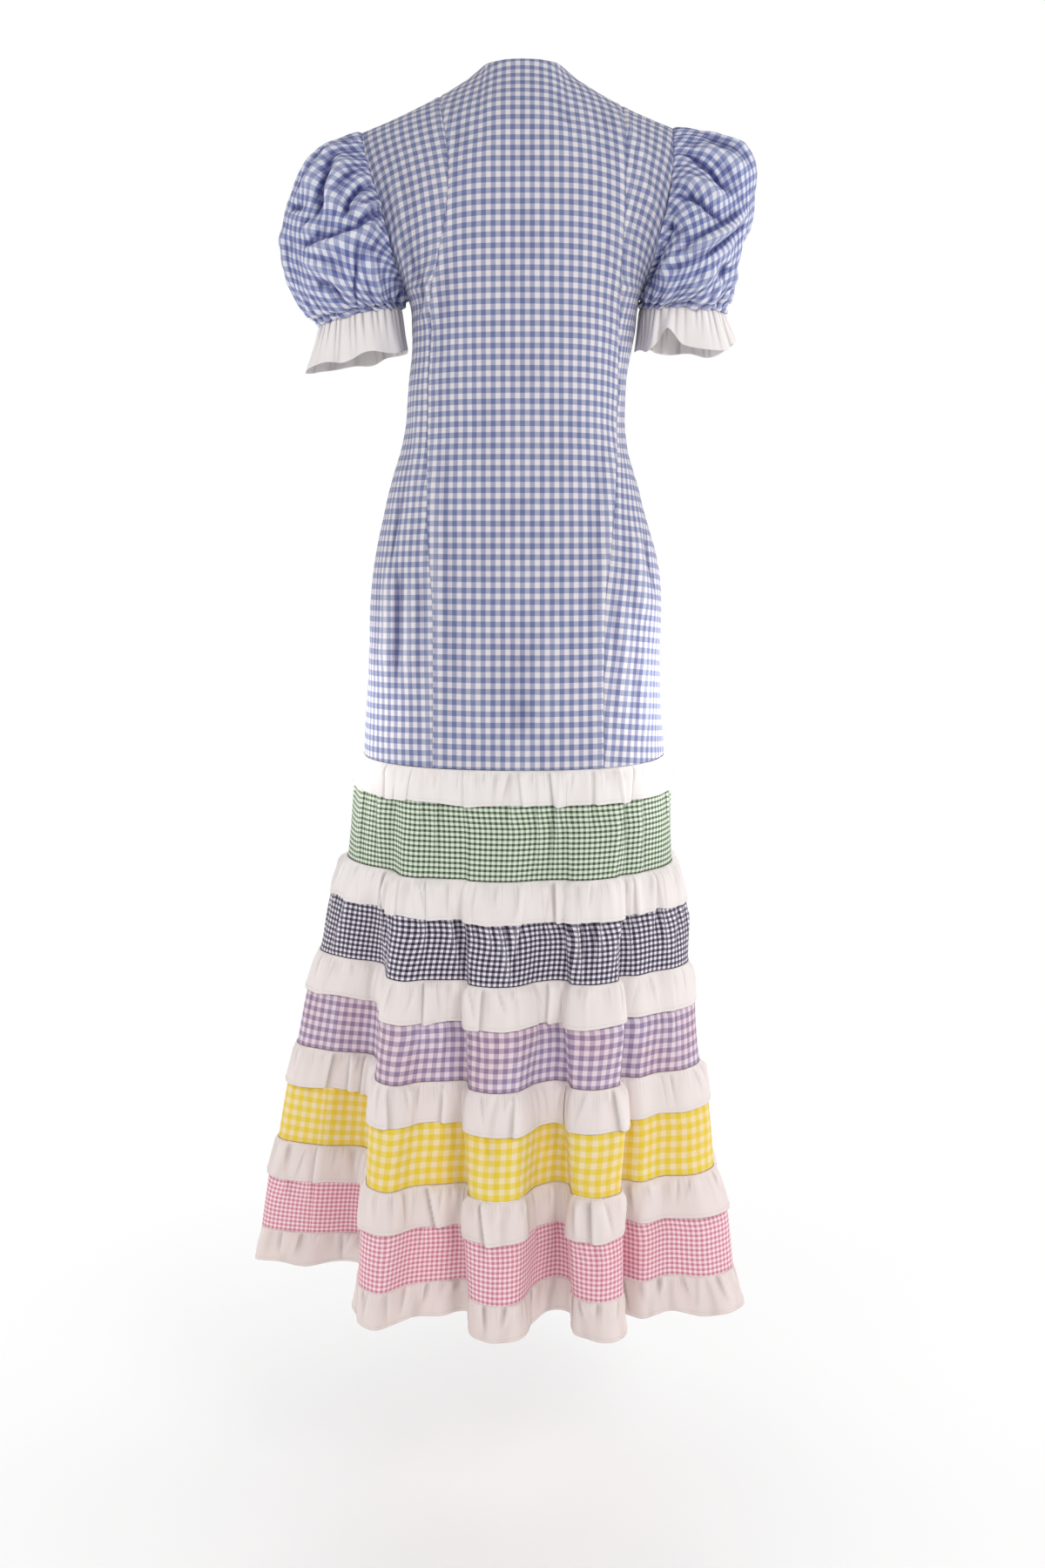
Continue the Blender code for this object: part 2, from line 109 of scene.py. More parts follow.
@dataclass(frozen=True)
class Curve:
    """A smooth curve through rising keys, flat beyond its ends."""

    keys: Array
    values: Array

    @classmethod
    def of(cls, rows: Sequence[object], key: str, column: str) -> "Curve":
        """Make a curve from one named column of a table.

        Args:
            rows: the table's rows.
            key: the column that the curve runs along.
            column: the column that it gives.

        Returns:
            The curve, its keys in rising order.
        """
        ordered = sorted(rows, key=lambda row: getattr(row, key))
        keys = np.array([getattr(row, key) for row in ordered])
        return cls(keys, np.array([getattr(row, column) for row in ordered]))

    def at(self, places: Array) -> Array:
        """Read the curve at many places.

        Args:
            places: keys to read it at, of any shape.

        Returns:
            The values there, in the same shape.
        """
        places = np.clip(np.asarray(places, dtype=float), self.keys[0], self.keys[-1])
        last = len(self.keys) - 1
        low = np.clip(np.searchsorted(self.keys, places, side="right") - 1, 0, last - 1)
        index = np.arange(last + 1)
        before, after = np.maximum(index - 1, 0), np.minimum(index + 1, last)
        slopes = (self.values[after] - self.values[before]) / (self.keys[after] - self.keys[before])
        span = self.keys[low + 1] - self.keys[low]
        t = (places - self.keys[low]) / span
        rise = self.values[low + 1] - self.values[low]
        pull = t * (1 - t) ** 2 * span * slopes[low] + t * t * (t - 1) * span * slopes[low + 1]
        return self.values[low] + rise * smooth_step(t) + pull


def metres(kind: type, *rows: tuple[float, ...]) -> tuple:
    """Make the rows of a table, given in millimetres."""
    return tuple(kind(*(value / 1000 for value in row)) for row in rows)


def smooth_step(t: Array) -> Array:
    """Ease from 0 to 1, level at both ends."""
    t = np.clip(t, 0.0, 1.0)
    return t * t * (3 - 2 * t)


def round_noise(place: Array, cells: int, seed: int) -> Array:
    """Smooth noise along a closed round.

    Args:
        place: how far round each point lies, from 0 to 1.
        cells: how many swings there are in the round.
        seed: picks the swings.

    Returns:
        Values from about -1 to 1.
    """
    swings = np.random.default_rng(seed).uniform(-1.0, 1.0, cells)
    at = place * cells
    low = np.floor(at).astype(int)
    t = at - low
    a, b, c, d = (swings[(low + k) % cells] for k in (-1, 0, 1, 2))
    return b + 0.5 * t * (c - a + t * (2 * a - 5 * b + 4 * c - d + t * (3 * (b - c) + d - a)))


def cloud_noise(points: Array, size: float, seed: int) -> Array:
    """Smooth noise through space.

    Args:
        points: places, the last axis holding x, y and z.
        size: how far apart the noise's swings are.
        seed: picks the swings.

    Returns:
        Values from -1 to 1, one for each point.
    """
    scaled = points / size
    low = np.floor(scaled).astype(np.int64)
    part = smooth_step(scaled - low)
    total = np.zeros(points.shape[:-1])
    for corner in itertools.product((0, 1), repeat=3):
        cell = low + np.array(corner)
        code = cell[..., 0] * HASH_STEPS[0]
        for axis in (1, 2):
            code = code ^ (cell[..., axis] * HASH_STEPS[axis])
        value = ((code + seed) * HASH_SEED % (2 * HASH_SPAN)) / HASH_SPAN - 1
        share = np.prod(np.where(np.array(corner) == 1, part, 1 - part), axis=-1)
        total += value * share
    return total


# Grids of cloth


def steps_along(grid: Array, axis: int) -> Array:
    """Distance between neighbouring points of a grid along one axis, nothing before the first."""
    moves = np.linalg.norm(np.diff(grid, axis=axis), axis=-1)
    pad = [(0, 0), (0, 0)]
    pad[axis] = (1, 0)
    return np.pad(moves, pad)


def add_object(name: str, data: bpy.types.ID) -> Piece:
    """Add an object to the scene."""
    piece = bpy.data.objects.new(name, data)
    bpy.context.scene.collection.objects.link(piece)
    return piece


def paired(across: Array, along: Array) -> Array:
    """Two coordinates of each point as one array."""
    return np.stack(np.broadcast_arrays(across, along), axis=-1)


def gone_along(line: Array) -> Array:
    """Distance along a line to each of its points."""
    return np.concatenate([[0.0], np.cumsum(np.linalg.norm(np.diff(line, axis=0), axis=1))])


def closed_round(grid: Array) -> Array:
    """A grid with its first column again at its end."""
    return np.concatenate([grid, grid[:, :1]], axis=1)


def even_ring(corners: Array, count: int) -> tuple[Array, float]:
    """Points at equal steps round a closed line, from its first corner.

    Args:
        corners: the line's corners in order.
        count: how many points there are to be.

    Returns:
        The points, and the line's length.
    """
    closed = np.concatenate([corners, corners[:1]])
    gone = gone_along(closed)
    places = gone[-1] * np.arange(count) / count
    parts = [np.interp(places, gone, closed[:, axis]) for axis in range(corners.shape[1])]
    return np.stack(parts, axis=-1), float(gone[-1])


def grid_normals(grid: Array, closed: bool, core: Array) -> Array:
    """Directions that a grid's cloth faces, away from its core.

    Args:
        grid: rows and columns of points.
        closed: whether the last column joins the first.
        core: a point, or a point for each row, that the cloth goes round.

    Returns:
        A unit vector for each point.
    """
    if closed:
        across = np.roll(grid, -1, axis=1) - np.roll(grid, 1, axis=1)
    else:
        across = np.gradient(grid, axis=1)
    normals = np.cross(across, np.gradient(grid, axis=0))
    normals /= np.maximum(np.linalg.norm(normals, axis=-1, keepdims=True), 1e-12)
    away = np.sum(normals * (grid - core))
    return normals if away > 0 else -normals


def relief_of(lift: Array, closed: bool, rows: int = 0) -> Array:
    """How far each point stands out of, or lies in, the cloth round it, from -1 to 1.

    Args:
        lift: how far each point was moved.
        closed: whether the last column joins the first.
        rows: how many rows up and down count as round it.

    Returns:
        The share, negative in a hollow.
    """
    smooth = np.pad(lift, ((0, 0), (RELIEF_REACH, RELIEF_REACH)), mode="wrap" if closed else "edge")
    width = 2 * RELIEF_REACH + 1
    smooth = sum(smooth[:, k:k + lift.shape[1]] for k in range(width)) / width
    if rows:
        tall = np.pad(smooth, ((rows, rows), (0, 0)), mode="edge")
        smooth = sum(tall[k:k + lift.shape[0]] for k in range(2 * rows + 1)) / (2 * rows + 1)
    return np.clip((lift - smooth) / RELIEF_DEPTH, -1.0, 1.0)


def make_cloth(name: str, grid: Array, weave: Array, closed: bool, core: Array,
               hole: Array | None = None, relief: Array | None = None) -> Piece:
    """Make a thin shell of cloth from a grid, its weave laid on as a UV map in metres.

    Args:
        name: the piece's name.
        grid: rows and columns of points.
        weave: place in the flat cloth of each point, with one more column where closed.
        closed: whether the last column joins the first.
        core: a point that the cloth goes round.
        hole: true for each face that is left out.
        relief: how far each point stands out of the cloth round it, from -1 to 1; the finishes paint shade
            and highlight from it.

    Returns:
        The piece, its wall still a live modifier.
    """
    rows, columns = grid.shape[:2]
    index = np.arange(rows * columns).reshape(rows, columns)
    if closed:
        index = closed_round(index)
    corners = [index[:-1, :-1], index[:-1, 1:], index[1:, 1:], index[1:, :-1]]
    faces = np.stack(corners, axis=-1).reshape(-1, 4)
    maps = [weave[:-1, :-1], weave[:-1, 1:], weave[1:, 1:], weave[1:, :-1]]
    flat = np.stack(maps, axis=2).reshape(-1, 4, 2)
    points = grid.reshape(-1, 3)
    sides = np.cross(points[faces[:, 2]] - points[faces[:, 0]], points[faces[:, 3]] - points[faces[:, 1]])
    middles = points[faces].mean(axis=1)
    away = np.sum(sides * (middles - np.broadcast_to(core, (1, 3))))
    if away < 0:
        faces, flat = faces[:, ::-1], flat[:, ::-1]
    if hole is not None:
        faces, flat = faces[~hole.reshape(-1)], flat[~hole.reshape(-1)]
    mesh = bpy.data.meshes.new(name)
    mesh.from_pydata(points.tolist(), [], faces.tolist())
    layer = mesh.uv_layers.new(name=WEAVE_MAP)
    layer.data.foreach_set("uv", flat.reshape(-1).astype(np.float32))
    # Stored for the finishes, which paint shade in the hollows and a highlight on the crests from it.
    shade = mesh.attributes.new(PAINTED_SHADE_AND_HIGHLIGHT, "FLOAT", "POINT")
    levels = np.zeros(len(points)) if relief is None else relief.reshape(-1)
    shade.data.foreach_set("value", levels.astype(np.float32))
    if hole is not None:
        work = bmesh.new()
        work.from_mesh(mesh)
        bmesh.ops.remove_doubles(work, verts=work.verts, dist=SAME_POINT)
        bmesh.ops.delete(work, geom=[vert for vert in work.verts if not vert.link_faces], context="VERTS")
        work.to_mesh(mesh)
        work.free()
    mesh.shade_smooth()
    piece = add_object(name, mesh)
    wall = piece.modifiers.new("wall", "SOLIDIFY")
    wall.thickness = CLOTH
    wall.offset = 0.0
    wall.use_rim = True
    return piece


def cloth_area(grid: Array, hole: Array | None) -> float:
    """Area of a grid's faces in square metres."""
    first = grid[1:, 1:] - grid[:-1, :-1]
    second = grid[1:, :-1] - grid[:-1, 1:]
    faces = np.linalg.norm(np.cross(first, second), axis=-1) / 2
    if hole is not None:
        faces = faces[~hole]
    return float(faces.sum())


def dress(piece: Piece, node: str, finish: Material) -> None:
    """Give a piece its finish, put it on the body in place of its node, and report it.

    Args:
        piece: the piece.
        node: the CAD node that it stands for.
        finish: its material.
    """
    piece.data.materials.append(finish)
    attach(piece, BODY)
    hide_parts(node)
    log.info("%s: %d faces", piece.name, len(piece.data.polygons))


def ring_piece(node: str, cloth: Array, plain: Array, weave: Array, relief: Array,
               finish: Material) -> Piece:
    """Make the cloth that goes round in place of one node, and dress it.

    Args:
        node: the CAD node that it stands for.
        cloth: its points.
        plain: the points before its folds, which it goes round.
        weave: their places in the flat cloth, with one more column.
        relief: how far each stands out of the cloth round it.
        finish: its material.

    Returns:
        The piece.
    """
    piece = make_cloth(node + "_cloth", cloth, weave, True, plain.mean(axis=(0, 1)), relief=relief)
    dress(piece, node, finish)
    return piece


@dataclass(frozen=True)
class Crease:
    """A fold laid along a line in a piece's own two coordinates, in metres.

    The depth is outwards, and a STEP is steep on the side that lies left of the line's run.
    """

    line: tuple[tuple[float, float], ...]
    width: float
    depth: float
    shape: CreaseShape = CreaseShape.SOFT
    tail: float = 7.0
    end_fade: float = 3.0

    def lift(self, across: Array, up: Array) -> Array:
        """How far the crease moves the cloth.

        Args:
            across: each point's first coordinate.
            up: its second one.

        Returns:
            The move outwards in metres.
        """
        nearest = np.full(across.shape, np.inf)
        side = np.zeros(across.shape)
        along = np.zeros(across.shape)
        lengths = [math.dist(a, b) for a, b in zip(self.line, self.line[1:])]
        gone = 0.0
        for (ax, ay), (bx, by), length in zip(self.line, self.line[1:], lengths):
            dx, dy = (bx - ax) / length, (by - ay) / length
            share = np.clip((across - ax) * dx + (up - ay) * dy, 0.0, length)
            offx, offy = across - ax - dx * share, up - ay - dy * share
            distance = np.hypot(offx, offy)
            closer = distance < nearest
            nearest = np.where(closer, distance, nearest)
            side = np.where(closer, np.sign(dx * offy - dy * offx), side)
            along = np.where(closer, (gone + share) / sum(lengths), along)
            gone += length
        fade = smooth_step(self.end_fade * along) * smooth_step(self.end_fade * (1 - along))
        if self.shape is CreaseShape.SOFT:
            profile = np.exp(-(nearest / self.width) ** 2)
        elif self.shape is CreaseShape.SHARP:
            profile = np.exp(-nearest / self.width)
        else:
            steep = np.exp(-(nearest / self.width) ** 2)
            slow = np.exp(-(nearest / (self.width * self.tail)) ** 2)
            profile = np.where(side > 0, steep, slow)
        return self.depth * profile * fade


def laid(line: Sequence[tuple[float, float]], width: float, depth: float, shape: CreaseShape,
         tail: float = 7.0) -> Crease:
    """Make a crease of one shape from millimetres."""
    return Crease(tuple((x / 1000, y / 1000) for x, y in line), width / 1000, depth / 1000, shape, tail)


def soft(width: float, depth: float, *line: tuple[float, float]) -> Crease:
    """A rounded crease, in millimetres."""
    return laid(line, width, depth, CreaseShape.SOFT)


def sharp(width: float, depth: float, *line: tuple[float, float]) -> Crease:
    """A narrow, peaked crease, in millimetres."""
    return laid(line, width, depth, CreaseShape.SHARP)


def step(width: float, depth: float, tail: float, *line: tuple[float, float]) -> Crease:
    """A crease in millimetres with one steep side, and a slow one that is tail times as wide."""
    return laid(line, width, depth, CreaseShape.STEP, tail)


@dataclass(frozen=True)
class Gathers:
    """Small folds that run away from a gathered seam and fade."""

    pitch: float
    depth: float
    reach: float
    seed: int
    sway: float = 0.6
    lean: float = 0.18
    uneven: float = 0.4
    run_change: float = 0.7
    shortest: float = 0.25

    def lift(self, place: Array, length: float, down: Array) -> Array:
        """How far the gathers move the cloth.

        Args:
            place: how far round the seam each point lies, from 0 to 1.
            length: the seam's length in metres.
            down: distance from the seam.

        Returns:
            The move outwards in metres.
        """
        cells = max(round(length / self.pitch), 4)
        sway = round_noise(place, max(cells // 3, 3), self.seed + 7) * self.sway / cells
        lean = round_noise(place, max(cells // 4, 3), self.seed + 5) * down * self.lean / length
        fine = round_noise(place + sway + lean, cells, self.seed)
        uneven = 1 - self.uneven + self.uneven * round_noise(place, max(cells // 5, 3), self.seed + 3)
        runs = 1.0 + self.run_change * round_noise(place + sway, max(cells // 2, 3), self.seed + 1)
        fade = np.exp(-(down / (self.reach * np.maximum(runs, self.shortest))) ** 2)
        return self.depth * fine * uneven * fade


@dataclass(frozen=True)
class Puckers:
    """Plump cells of cloth along a gathered edge, with a sharp valley between each two.

    Each valley hides some cloth, so the weave jumps there.
    """

    pitch: float
    depth: float
    reach: float
    seed: int
    most: int = 400
    plumpness: float = 1.8

    def cells(self, place: Array, length: float) -> tuple[Array, Array, Array]:
        """Find the cell in which each column lies.

        Args:
            place: how far round each column lies, from 0 to 1.
            length: the edge's length in metres.

        Returns:
            The cells' numbers, the columns' shares of the way across them, and the cells' middles.
        """
        count = max(round(length / self.pitch), 4)
        rng = np.random.default_rng(self.seed)
        edges = (np.arange(count) + rng.uniform(0.15, 0.85, count)) / count
        index = np.searchsorted(edges, place, side="right") - 1
        low = np.where(index < 0, edges[-1] - 1, edges[index])
        high = np.where(index == count - 1, edges[0] + 1, edges[(index + 1) % count])
        return index % count, (place - low) / (high - low), (low + high) / 2

    def fade(self, index: Array, down: Array) -> Array:
        """How much of the gathers is left at each point, some running further than others."""
        runs = np.random.default_rng(self.seed + 1).uniform(0.45, 1.6, self.most)[index]
        return np.exp(-(down / (self.reach * runs[None, :])) ** 2)

    def lift(self, place: Array, length: float, down: Array) -> Array:
        """How far the gathers move the cloth outwards."""
        index, share, _ = self.cells(place, length)
        tall = np.random.default_rng(self.seed + 2).uniform(0.45, 1.0, self.most)[index]
        plump = 1 - np.abs(2 * share - 1) ** self.plumpness
        return self.depth * (tall * plump)[None, :] * self.fade(index, down)

    def jumps(self, place: Array, length: float, down: Array, loss: Array) -> Array:
        """Let the cloth that a narrower edge leaves over vanish in the valleys.

        Args:
            place: how far round each column lies, from 0 to 1.
            length: the edge's length in metres.
            down: distance from the edge.
            loss: the cloth left over before each point.

        Returns:
            What to add to each point's place across the cloth.
        """
        index, _, middles = self.cells(place, length)
        order = np.argsort(place)
        level = np.stack([np.interp(np.clip(middles, 0, 1), place[order], row[order]) for row in loss])
        return (level - loss) * self.fade(index, down)


# Finishes

Colour = tuple[int, int, int]
LIT_SHARE = 0.93
THREAD_PITCH = 0.00045
WHITE = (1.0, 1.0, 1.0, 1.0)


def linear(colour: Colour) -> tuple[float, float, float, float]:
    """Turn a colour as the lit cloth reads into the cloth's own linear values.

    Args:
        colour: red, green and blue from 0 to 255.

    Returns:
        The values, and 1 for alpha.
    """
    values = []
    for part in colour:
        level = part / 255
        value = level / 12.92 if level <= 0.04045 else ((level + 0.055) / 1.055) ** 2.4
        values.append(value * LIT_SHARE)
    return (*values, 1.0)


class Value:
    """A number in a shader, worked on with Python's own operators."""

    def __init__(self, tree: "FinishTree", socket: Socket) -> None:
        """Wrap one output socket of a tree."""
        self.tree = tree
        self.socket = socket

    def __add__(self, other: "Value | float") -> "Value":
        """Add."""
        return self.tree.maths("ADD", self, other)

    __radd__ = __add__

    def __sub__(self, other: "Value | float") -> "Value":
        """Take away."""
        return self.tree.maths("SUBTRACT", self, other)

    def __rsub__(self, other: float) -> "Value":
        """Take this away from a number."""
        return self.tree.maths("SUBTRACT", other, self)

    def __mul__(self, other: "Value | float") -> "Value":
        """Multiply."""
        return self.tree.maths("MULTIPLY", self, other)

    __rmul__ = __mul__

    def __truediv__(self, other: "Value | float") -> "Value":
        """Divide."""
        return self.tree.maths("DIVIDE", self, other)

    def clamped(self) -> "Value":
        """Keep between 0 and 1."""
        return self.tree.maths("MAXIMUM", self.tree.maths("MINIMUM", self, 1.0), 0.0)


class FinishTree:
    """One material's nodes, round its Principled shader."""

    def __init__(self, name: str) -> None:
        """Make the material."""
        self.material = bpy.data.materials.new(name)
        self.material.use_nodes = True
        self.nodes = self.material.node_tree.nodes
        self.links = self.material.node_tree.links
        self.shader = self.nodes["Principled BSDF"]

    def add(self, kind: str, settings: dict | None = None, inputs: dict | None = None) -> bpy.types.Node:
        """Add a node.

        Args:
            kind: the node's type.
            settings: its own settings, set first.
            inputs: values or links of its sockets, by name or number.

        Returns:
            The node.
        """
        node = self.nodes.new(kind)
        for key, value in (settings or {}).items():
            setattr(node, key, value)
        for key, value in (inputs or {}).items():
            self.feed(node.inputs[key], value)
        return node

    def feed(self, socket: Socket, value: "Value | Socket | float | tuple") -> None:
        """Link a socket, or set its value."""
        if isinstance(value, Value):
            self.links.new(value.socket, socket)
        elif isinstance(value, bpy.types.NodeSocket):
            self.links.new(value, socket)
        else:
            socket.default_value = value

    def maths(self, operation: str, *values: "Value | float") -> Value:
        """Add a Math node and give what comes out."""
        node = self.add("ShaderNodeMath", {"operation": operation}, dict(enumerate(values)))
        return Value(self, node.outputs[0])

    def mix(self, share: "Value | float", first: object, second: object, blend: str = "MIX") -> Socket:
        """Mix two colours.

        Args:
            share: how much of the second there is.
            first: a colour or its socket.
            second: a colour or its socket.
            blend: how they mix.

        Returns:
            The mixed colour's socket.
        """
        settings = {"data_type": "RGBA", "blend_type": blend}
        node = self.add("ShaderNodeMix", settings, {0: share, 6: first, 7: second})
        return node.outputs[2]

    def noise(self, vector: Socket, scale: float, detail: float = 2.0) -> bpy.types.Node:
        """Add a noise texture on some coordinates."""
        return self.add("ShaderNodeTexNoise", {}, {"Vector": vector, "Scale": scale, "Detail": detail})

    def noise_value(self, vector: Socket, scale: float, detail: float = 2.0) -> Value:
        """Noise from 0 to 1."""
        return Value(self, self.noise(vector, scale, detail).outputs[0])

    def patches(self, noise: Value, floor: float, steep: float) -> Value:
        """Turn noise into patches, 0 up to a floor and then rising to 1."""
        return ((noise - floor) * steep).clamped()

    def weave_place(self) -> tuple[Socket, Value, Value]:
        """The place in the flat cloth, and its two parts in metres."""
        place = self.add("ShaderNodeUVMap", {"uv_map": WEAVE_MAP}).outputs[0]
        parts = self.add("ShaderNodeSeparateXYZ", {}, {0: place})
        return place, Value(self, parts.outputs[0]), Value(self, parts.outputs[1])

    def stretched(self, place: Socket, scale: tuple[float, float, float]) -> Socket:
        """Coordinates scaled by a different amount each way."""
        node = self.add("ShaderNodeMapping", {"vector_type": "POINT"}, {"Vector": place, "Scale": scale})
        return node.outputs[0]

    def threads(self, across: Value, down: Value) -> Value:
        """Height of a plain weave's threads, from 0 to 1."""
        turn = 2 * math.pi / THREAD_PITCH
        over = self.maths("SINE", across * turn) * self.maths("SINE", down * turn)
        return over * 0.5 + 0.5

    def paint_shade_and_highlight(self, colour: Socket, hollow: Colour, dark: float, pale: float) -> Socket:
        """Paint shade into the bottoms of folds and a highlight on their crests.

        Args:
            colour: the cloth's colour.
            hollow: the colour that multiplies it where no light reaches.
            dark: how much of that painted shade there is in the deepest fold.
            pale: how far the painted highlight takes the sharpest crest to white.

        Returns:
            The new colour's socket.
        """
        relief = Value(self, self.add("ShaderNodeAttribute", {"attribute_name": PAINTED_SHADE_AND_HIGHLIGHT}).outputs["Fac"])
        crest = self.maths("MAXIMUM", relief, 0.0)
        depth = self.maths("MAXIMUM", relief * -1.0, 0.0)
        # Painted shade in the hollows.
        colour = self.mix(depth * dark, colour, linear(hollow), "MULTIPLY")
        # Painted highlight on the crests.
        return self.mix(crest * pale, colour, WHITE)

    def surface(self, colour: Socket, roughness: Value) -> None:
        """Feed the shader's colour and roughness."""
        self.feed(self.shader.inputs["Base Color"], colour)
        self.feed(self.shader.inputs["Roughness"], roughness)

    def bump(self, height: Value, strength: float, distance: float) -> None:
        """Feed a height into the shader's normal."""
        settings = {"Height": height, "Strength": strength, "Distance": distance}
        node = self.add("ShaderNodeBump", {}, settings)
        self.links.new(node.outputs[0], self.shader.inputs["Normal"])

    def soft_cotton(self, sheen: float) -> None:
        """Set what all cotton shares and does not vary."""
        self.shader.inputs["Metallic"].default_value = 0.0
        self.shader.inputs["Specular IOR Level"].default_value = 0.35
        self.shader.inputs["Sheen Weight"].default_value = sheen
        self.shader.inputs["Sheen Roughness"].default_value = 0.55


@dataclass(frozen=True)
class Gingham:
    """A woven check: stripes of coloured thread crossing on pale cotton.

    Colours are as the lit cloth reads, and sizes are one whole check in metres.
    """

    slot: str
    dark: Colour
    mid: Colour
    weft: Colour
    pale: Colour
    across: float
    down: float
    share: float = 0.5
    blush: Colour = (255, 246, 240)
    blush_share: float = 0.25
    edge: float = 0.045
    wander: float = 0.0005
    wander_scale: float = 45.0
    slub: tuple[float, float, float] = (2600.0, 55.0, 1.0)
    slub_colour: tuple[float, ...] = (0.8, 0.8, 0.82, 1.0)
    slub_depth: float = 0.16
    blush_scale: float = 11.0
    # Painted shade in the cloth's folds, in this colour, and painted highlight on their crests.
    hollow: Colour = (150, 148, 184)
    painted_fold_shade: float = 0.85
    painted_crest_highlight: float = 0.16
    sheen: float = 0.12
    ending: str = "_cloth"

    def build(self) -> Material:
        """Make the material."""
        tree = FinishTree(self.slot + self.ending)
        place, across, down = tree.weave_place()
        sway = tree.noise(place, self.wander_scale).outputs["Color"]
        drift = tree.add("ShaderNodeSeparateColor", {}, {0: sway})
        across = across + (Value(tree, drift.outputs[0]) - 0.5) * self.wander
        down = down + (Value(tree, drift.outputs[1]) - 0.5) * self.wander
        warp = self.stripe(tree, across, self.across)
        weft = self.stripe(tree, down, self.down)
        colour = tree.mix(warp, linear(self.pale), linear(self.mid))
        colour = tree.mix(weft, colour, linear(self.weft))
        colour = tree.mix(warp * weft, colour, linear(self.dark))
        thin, long, level = self.slub
        slubs = tree.noise_value(tree.stretched(place, (thin, long, level)), 1.0, 1.0)
        slubs = slubs + tree.noise_value(tree.stretched(place, (long, thin, level)), 1.0, 1.0)
        uneven = tree.patches(slubs, 0.8, 2.5) * self.slub_depth
        colour = tree.mix(uneven, colour, self.slub_colour, "MULTIPLY")
        # Warm patches laid at random: partly the cloth's own uneven tone, partly painted light that shows
        # through the thin cloth.
        warm = tree.patches(tree.noise_value(place, self.blush_scale, 1.0), 0.42, 5.0) * self.blush_share
        blush = (*(part / LIT_SHARE for part in linear(self.blush)[:3]), 1.0)
        colour = tree.mix(warm, colour, blush, "MULTIPLY")
        # Painted shade in the folds and painted highlight on the crests, from each point's relief.
        colour = tree.paint_shade_and_highlight(colour, self.hollow, self.painted_fold_shade, self.painted_crest_highlight)
        tree.surface(colour, tree.noise_value(place, 70.0) * 0.12 + 0.76)
        tree.bump(tree.threads(across, down) * 0.35 + tree.noise_value(place, 240.0, 3.0), 0.35, 0.0004)
        tree.soft_cotton(self.sheen)
        return tree.material

    def stripe(self, tree: FinishTree, place: Value, period: float) -> Value:
        """One set of stripes, 1 on the coloured thread and 0 between."""
        fold = tree.maths("PINGPONG", place / period, 0.5)
        return ((self.share / 2 - fold) / self.edge + 0.5).clamped()


@dataclass(frozen=True)
class WhiteCotton:
    """The plain off-white cotton of the ruffles, creased where it is gathered, with painted shade along its
    creases and folds and painted highlight on their crests.
    """

    slot: str = "white_cotton"
    colour: Colour = (243, 237, 235)
    shade: Colour = (230, 217, 212)
    # Colour of the painted shade along the creases and in the folds.
    hollow: Colour = (150, 136, 132)
    low: Colour = (238, 222, 218)
    gather_reach: float = 0.024
    crease: tuple[float, float, float] = (520.0, 26.0, 1.0)
    pressed: tuple[float, float, float] = (110.0, 45.0, 1.0)
    painted_fold_shade: float = 0.8
    painted_crest_highlight: float = 0.3
    sheen: float = 0.15
    high_level: float = -0.85
    low_level: float = -1.3

    def build(self) -> Material:
        """Make the material."""
        tree = FinishTree(self.slot + "_cloth")
        place, across, down = tree.weave_place()
        clouds = tree.patches(tree.noise_value(place, 16.0), 0.4, 3.0) * 0.25
        # Crease lines near the gathered seam, raised in the bump and darkened with painted shade in the
        # colour.
        creases = tree.noise_value(tree.stretched(place, self.crease), 1.0)
        near = (1.0 - down / self.gather_reach).clamped()
        lines = tree.patches(creases, 0.5, 4.0) * near * 0.3
        body = tree.add("ShaderNodeTexCoord").outputs["Object"]
        height = Value(tree, tree.add("ShaderNodeSeparateXYZ", {}, {0: body}).outputs[2])
        fall = (self.high_level - height) / (self.high_level - self.low_level)
        colour = tree.mix(fall.clamped(), linear(self.colour), linear(self.low))
        colour = tree.mix(clouds, colour, linear(self.shade))
        # Painted shade along the crease lines.
        colour = tree.mix(lines, colour, linear(self.hollow), "MULTIPLY")
        # Painted shade in the folds and painted highlight on their crests.
        colour = tree.paint_shade_and_highlight(colour, self.hollow, self.painted_fold_shade, self.painted_crest_highlight)
        tree.surface(colour, tree.noise_value(place, 80.0) * 0.1 + 0.78)
        pressed = tree.noise_value(tree.stretched(place, self.pressed), 1.0, 3.0)
        tree.bump(tree.threads(across, down) * 0.2 + pressed * 1.2 + creases * near * 2.0, 0.35, 0.0006)
        tree.soft_cotton(self.sheen)
        return tree.material


@dataclass(frozen=True)
class Thread:
    """Sewing thread, twisted, a little brighter than the cotton."""

    slot: str = "white_cotton"
    colour: Colour = (236, 232, 228)
    shade: Colour = (196, 190, 184)
    twist: float = 0.0007
    sheen: float = 0.1

    def build(self) -> Material:
        """Make the material."""
        tree = FinishTree("sewing_thread")
        place = tree.add("ShaderNodeTexCoord").outputs["Object"]
        parts = tree.add("ShaderNodeSeparateXYZ", {}, {0: place})
        x, y, z = (Value(tree, parts.outputs[i]) for i in range(3))
        twist = tree.maths("SINE", (x + y + z) * (2 * math.pi / self.twist)) * 0.5 + 0.5
        tree.surface(tree.mix(twist * 0.35, linear(self.colour), linear(self.shade)), twist * 0.15 + 0.55)
        tree.bump(twist, 0.3, 0.0001)
        tree.soft_cotton(self.sheen)
        return tree.material


BLUE = Gingham(
    "blue_gingham", dark=(110, 120, 162), mid=(166, 168, 192), weft=(166, 168, 192), pale=(228, 222, 226),
    across=0.0104, down=0.0118, blush_share=0.1)
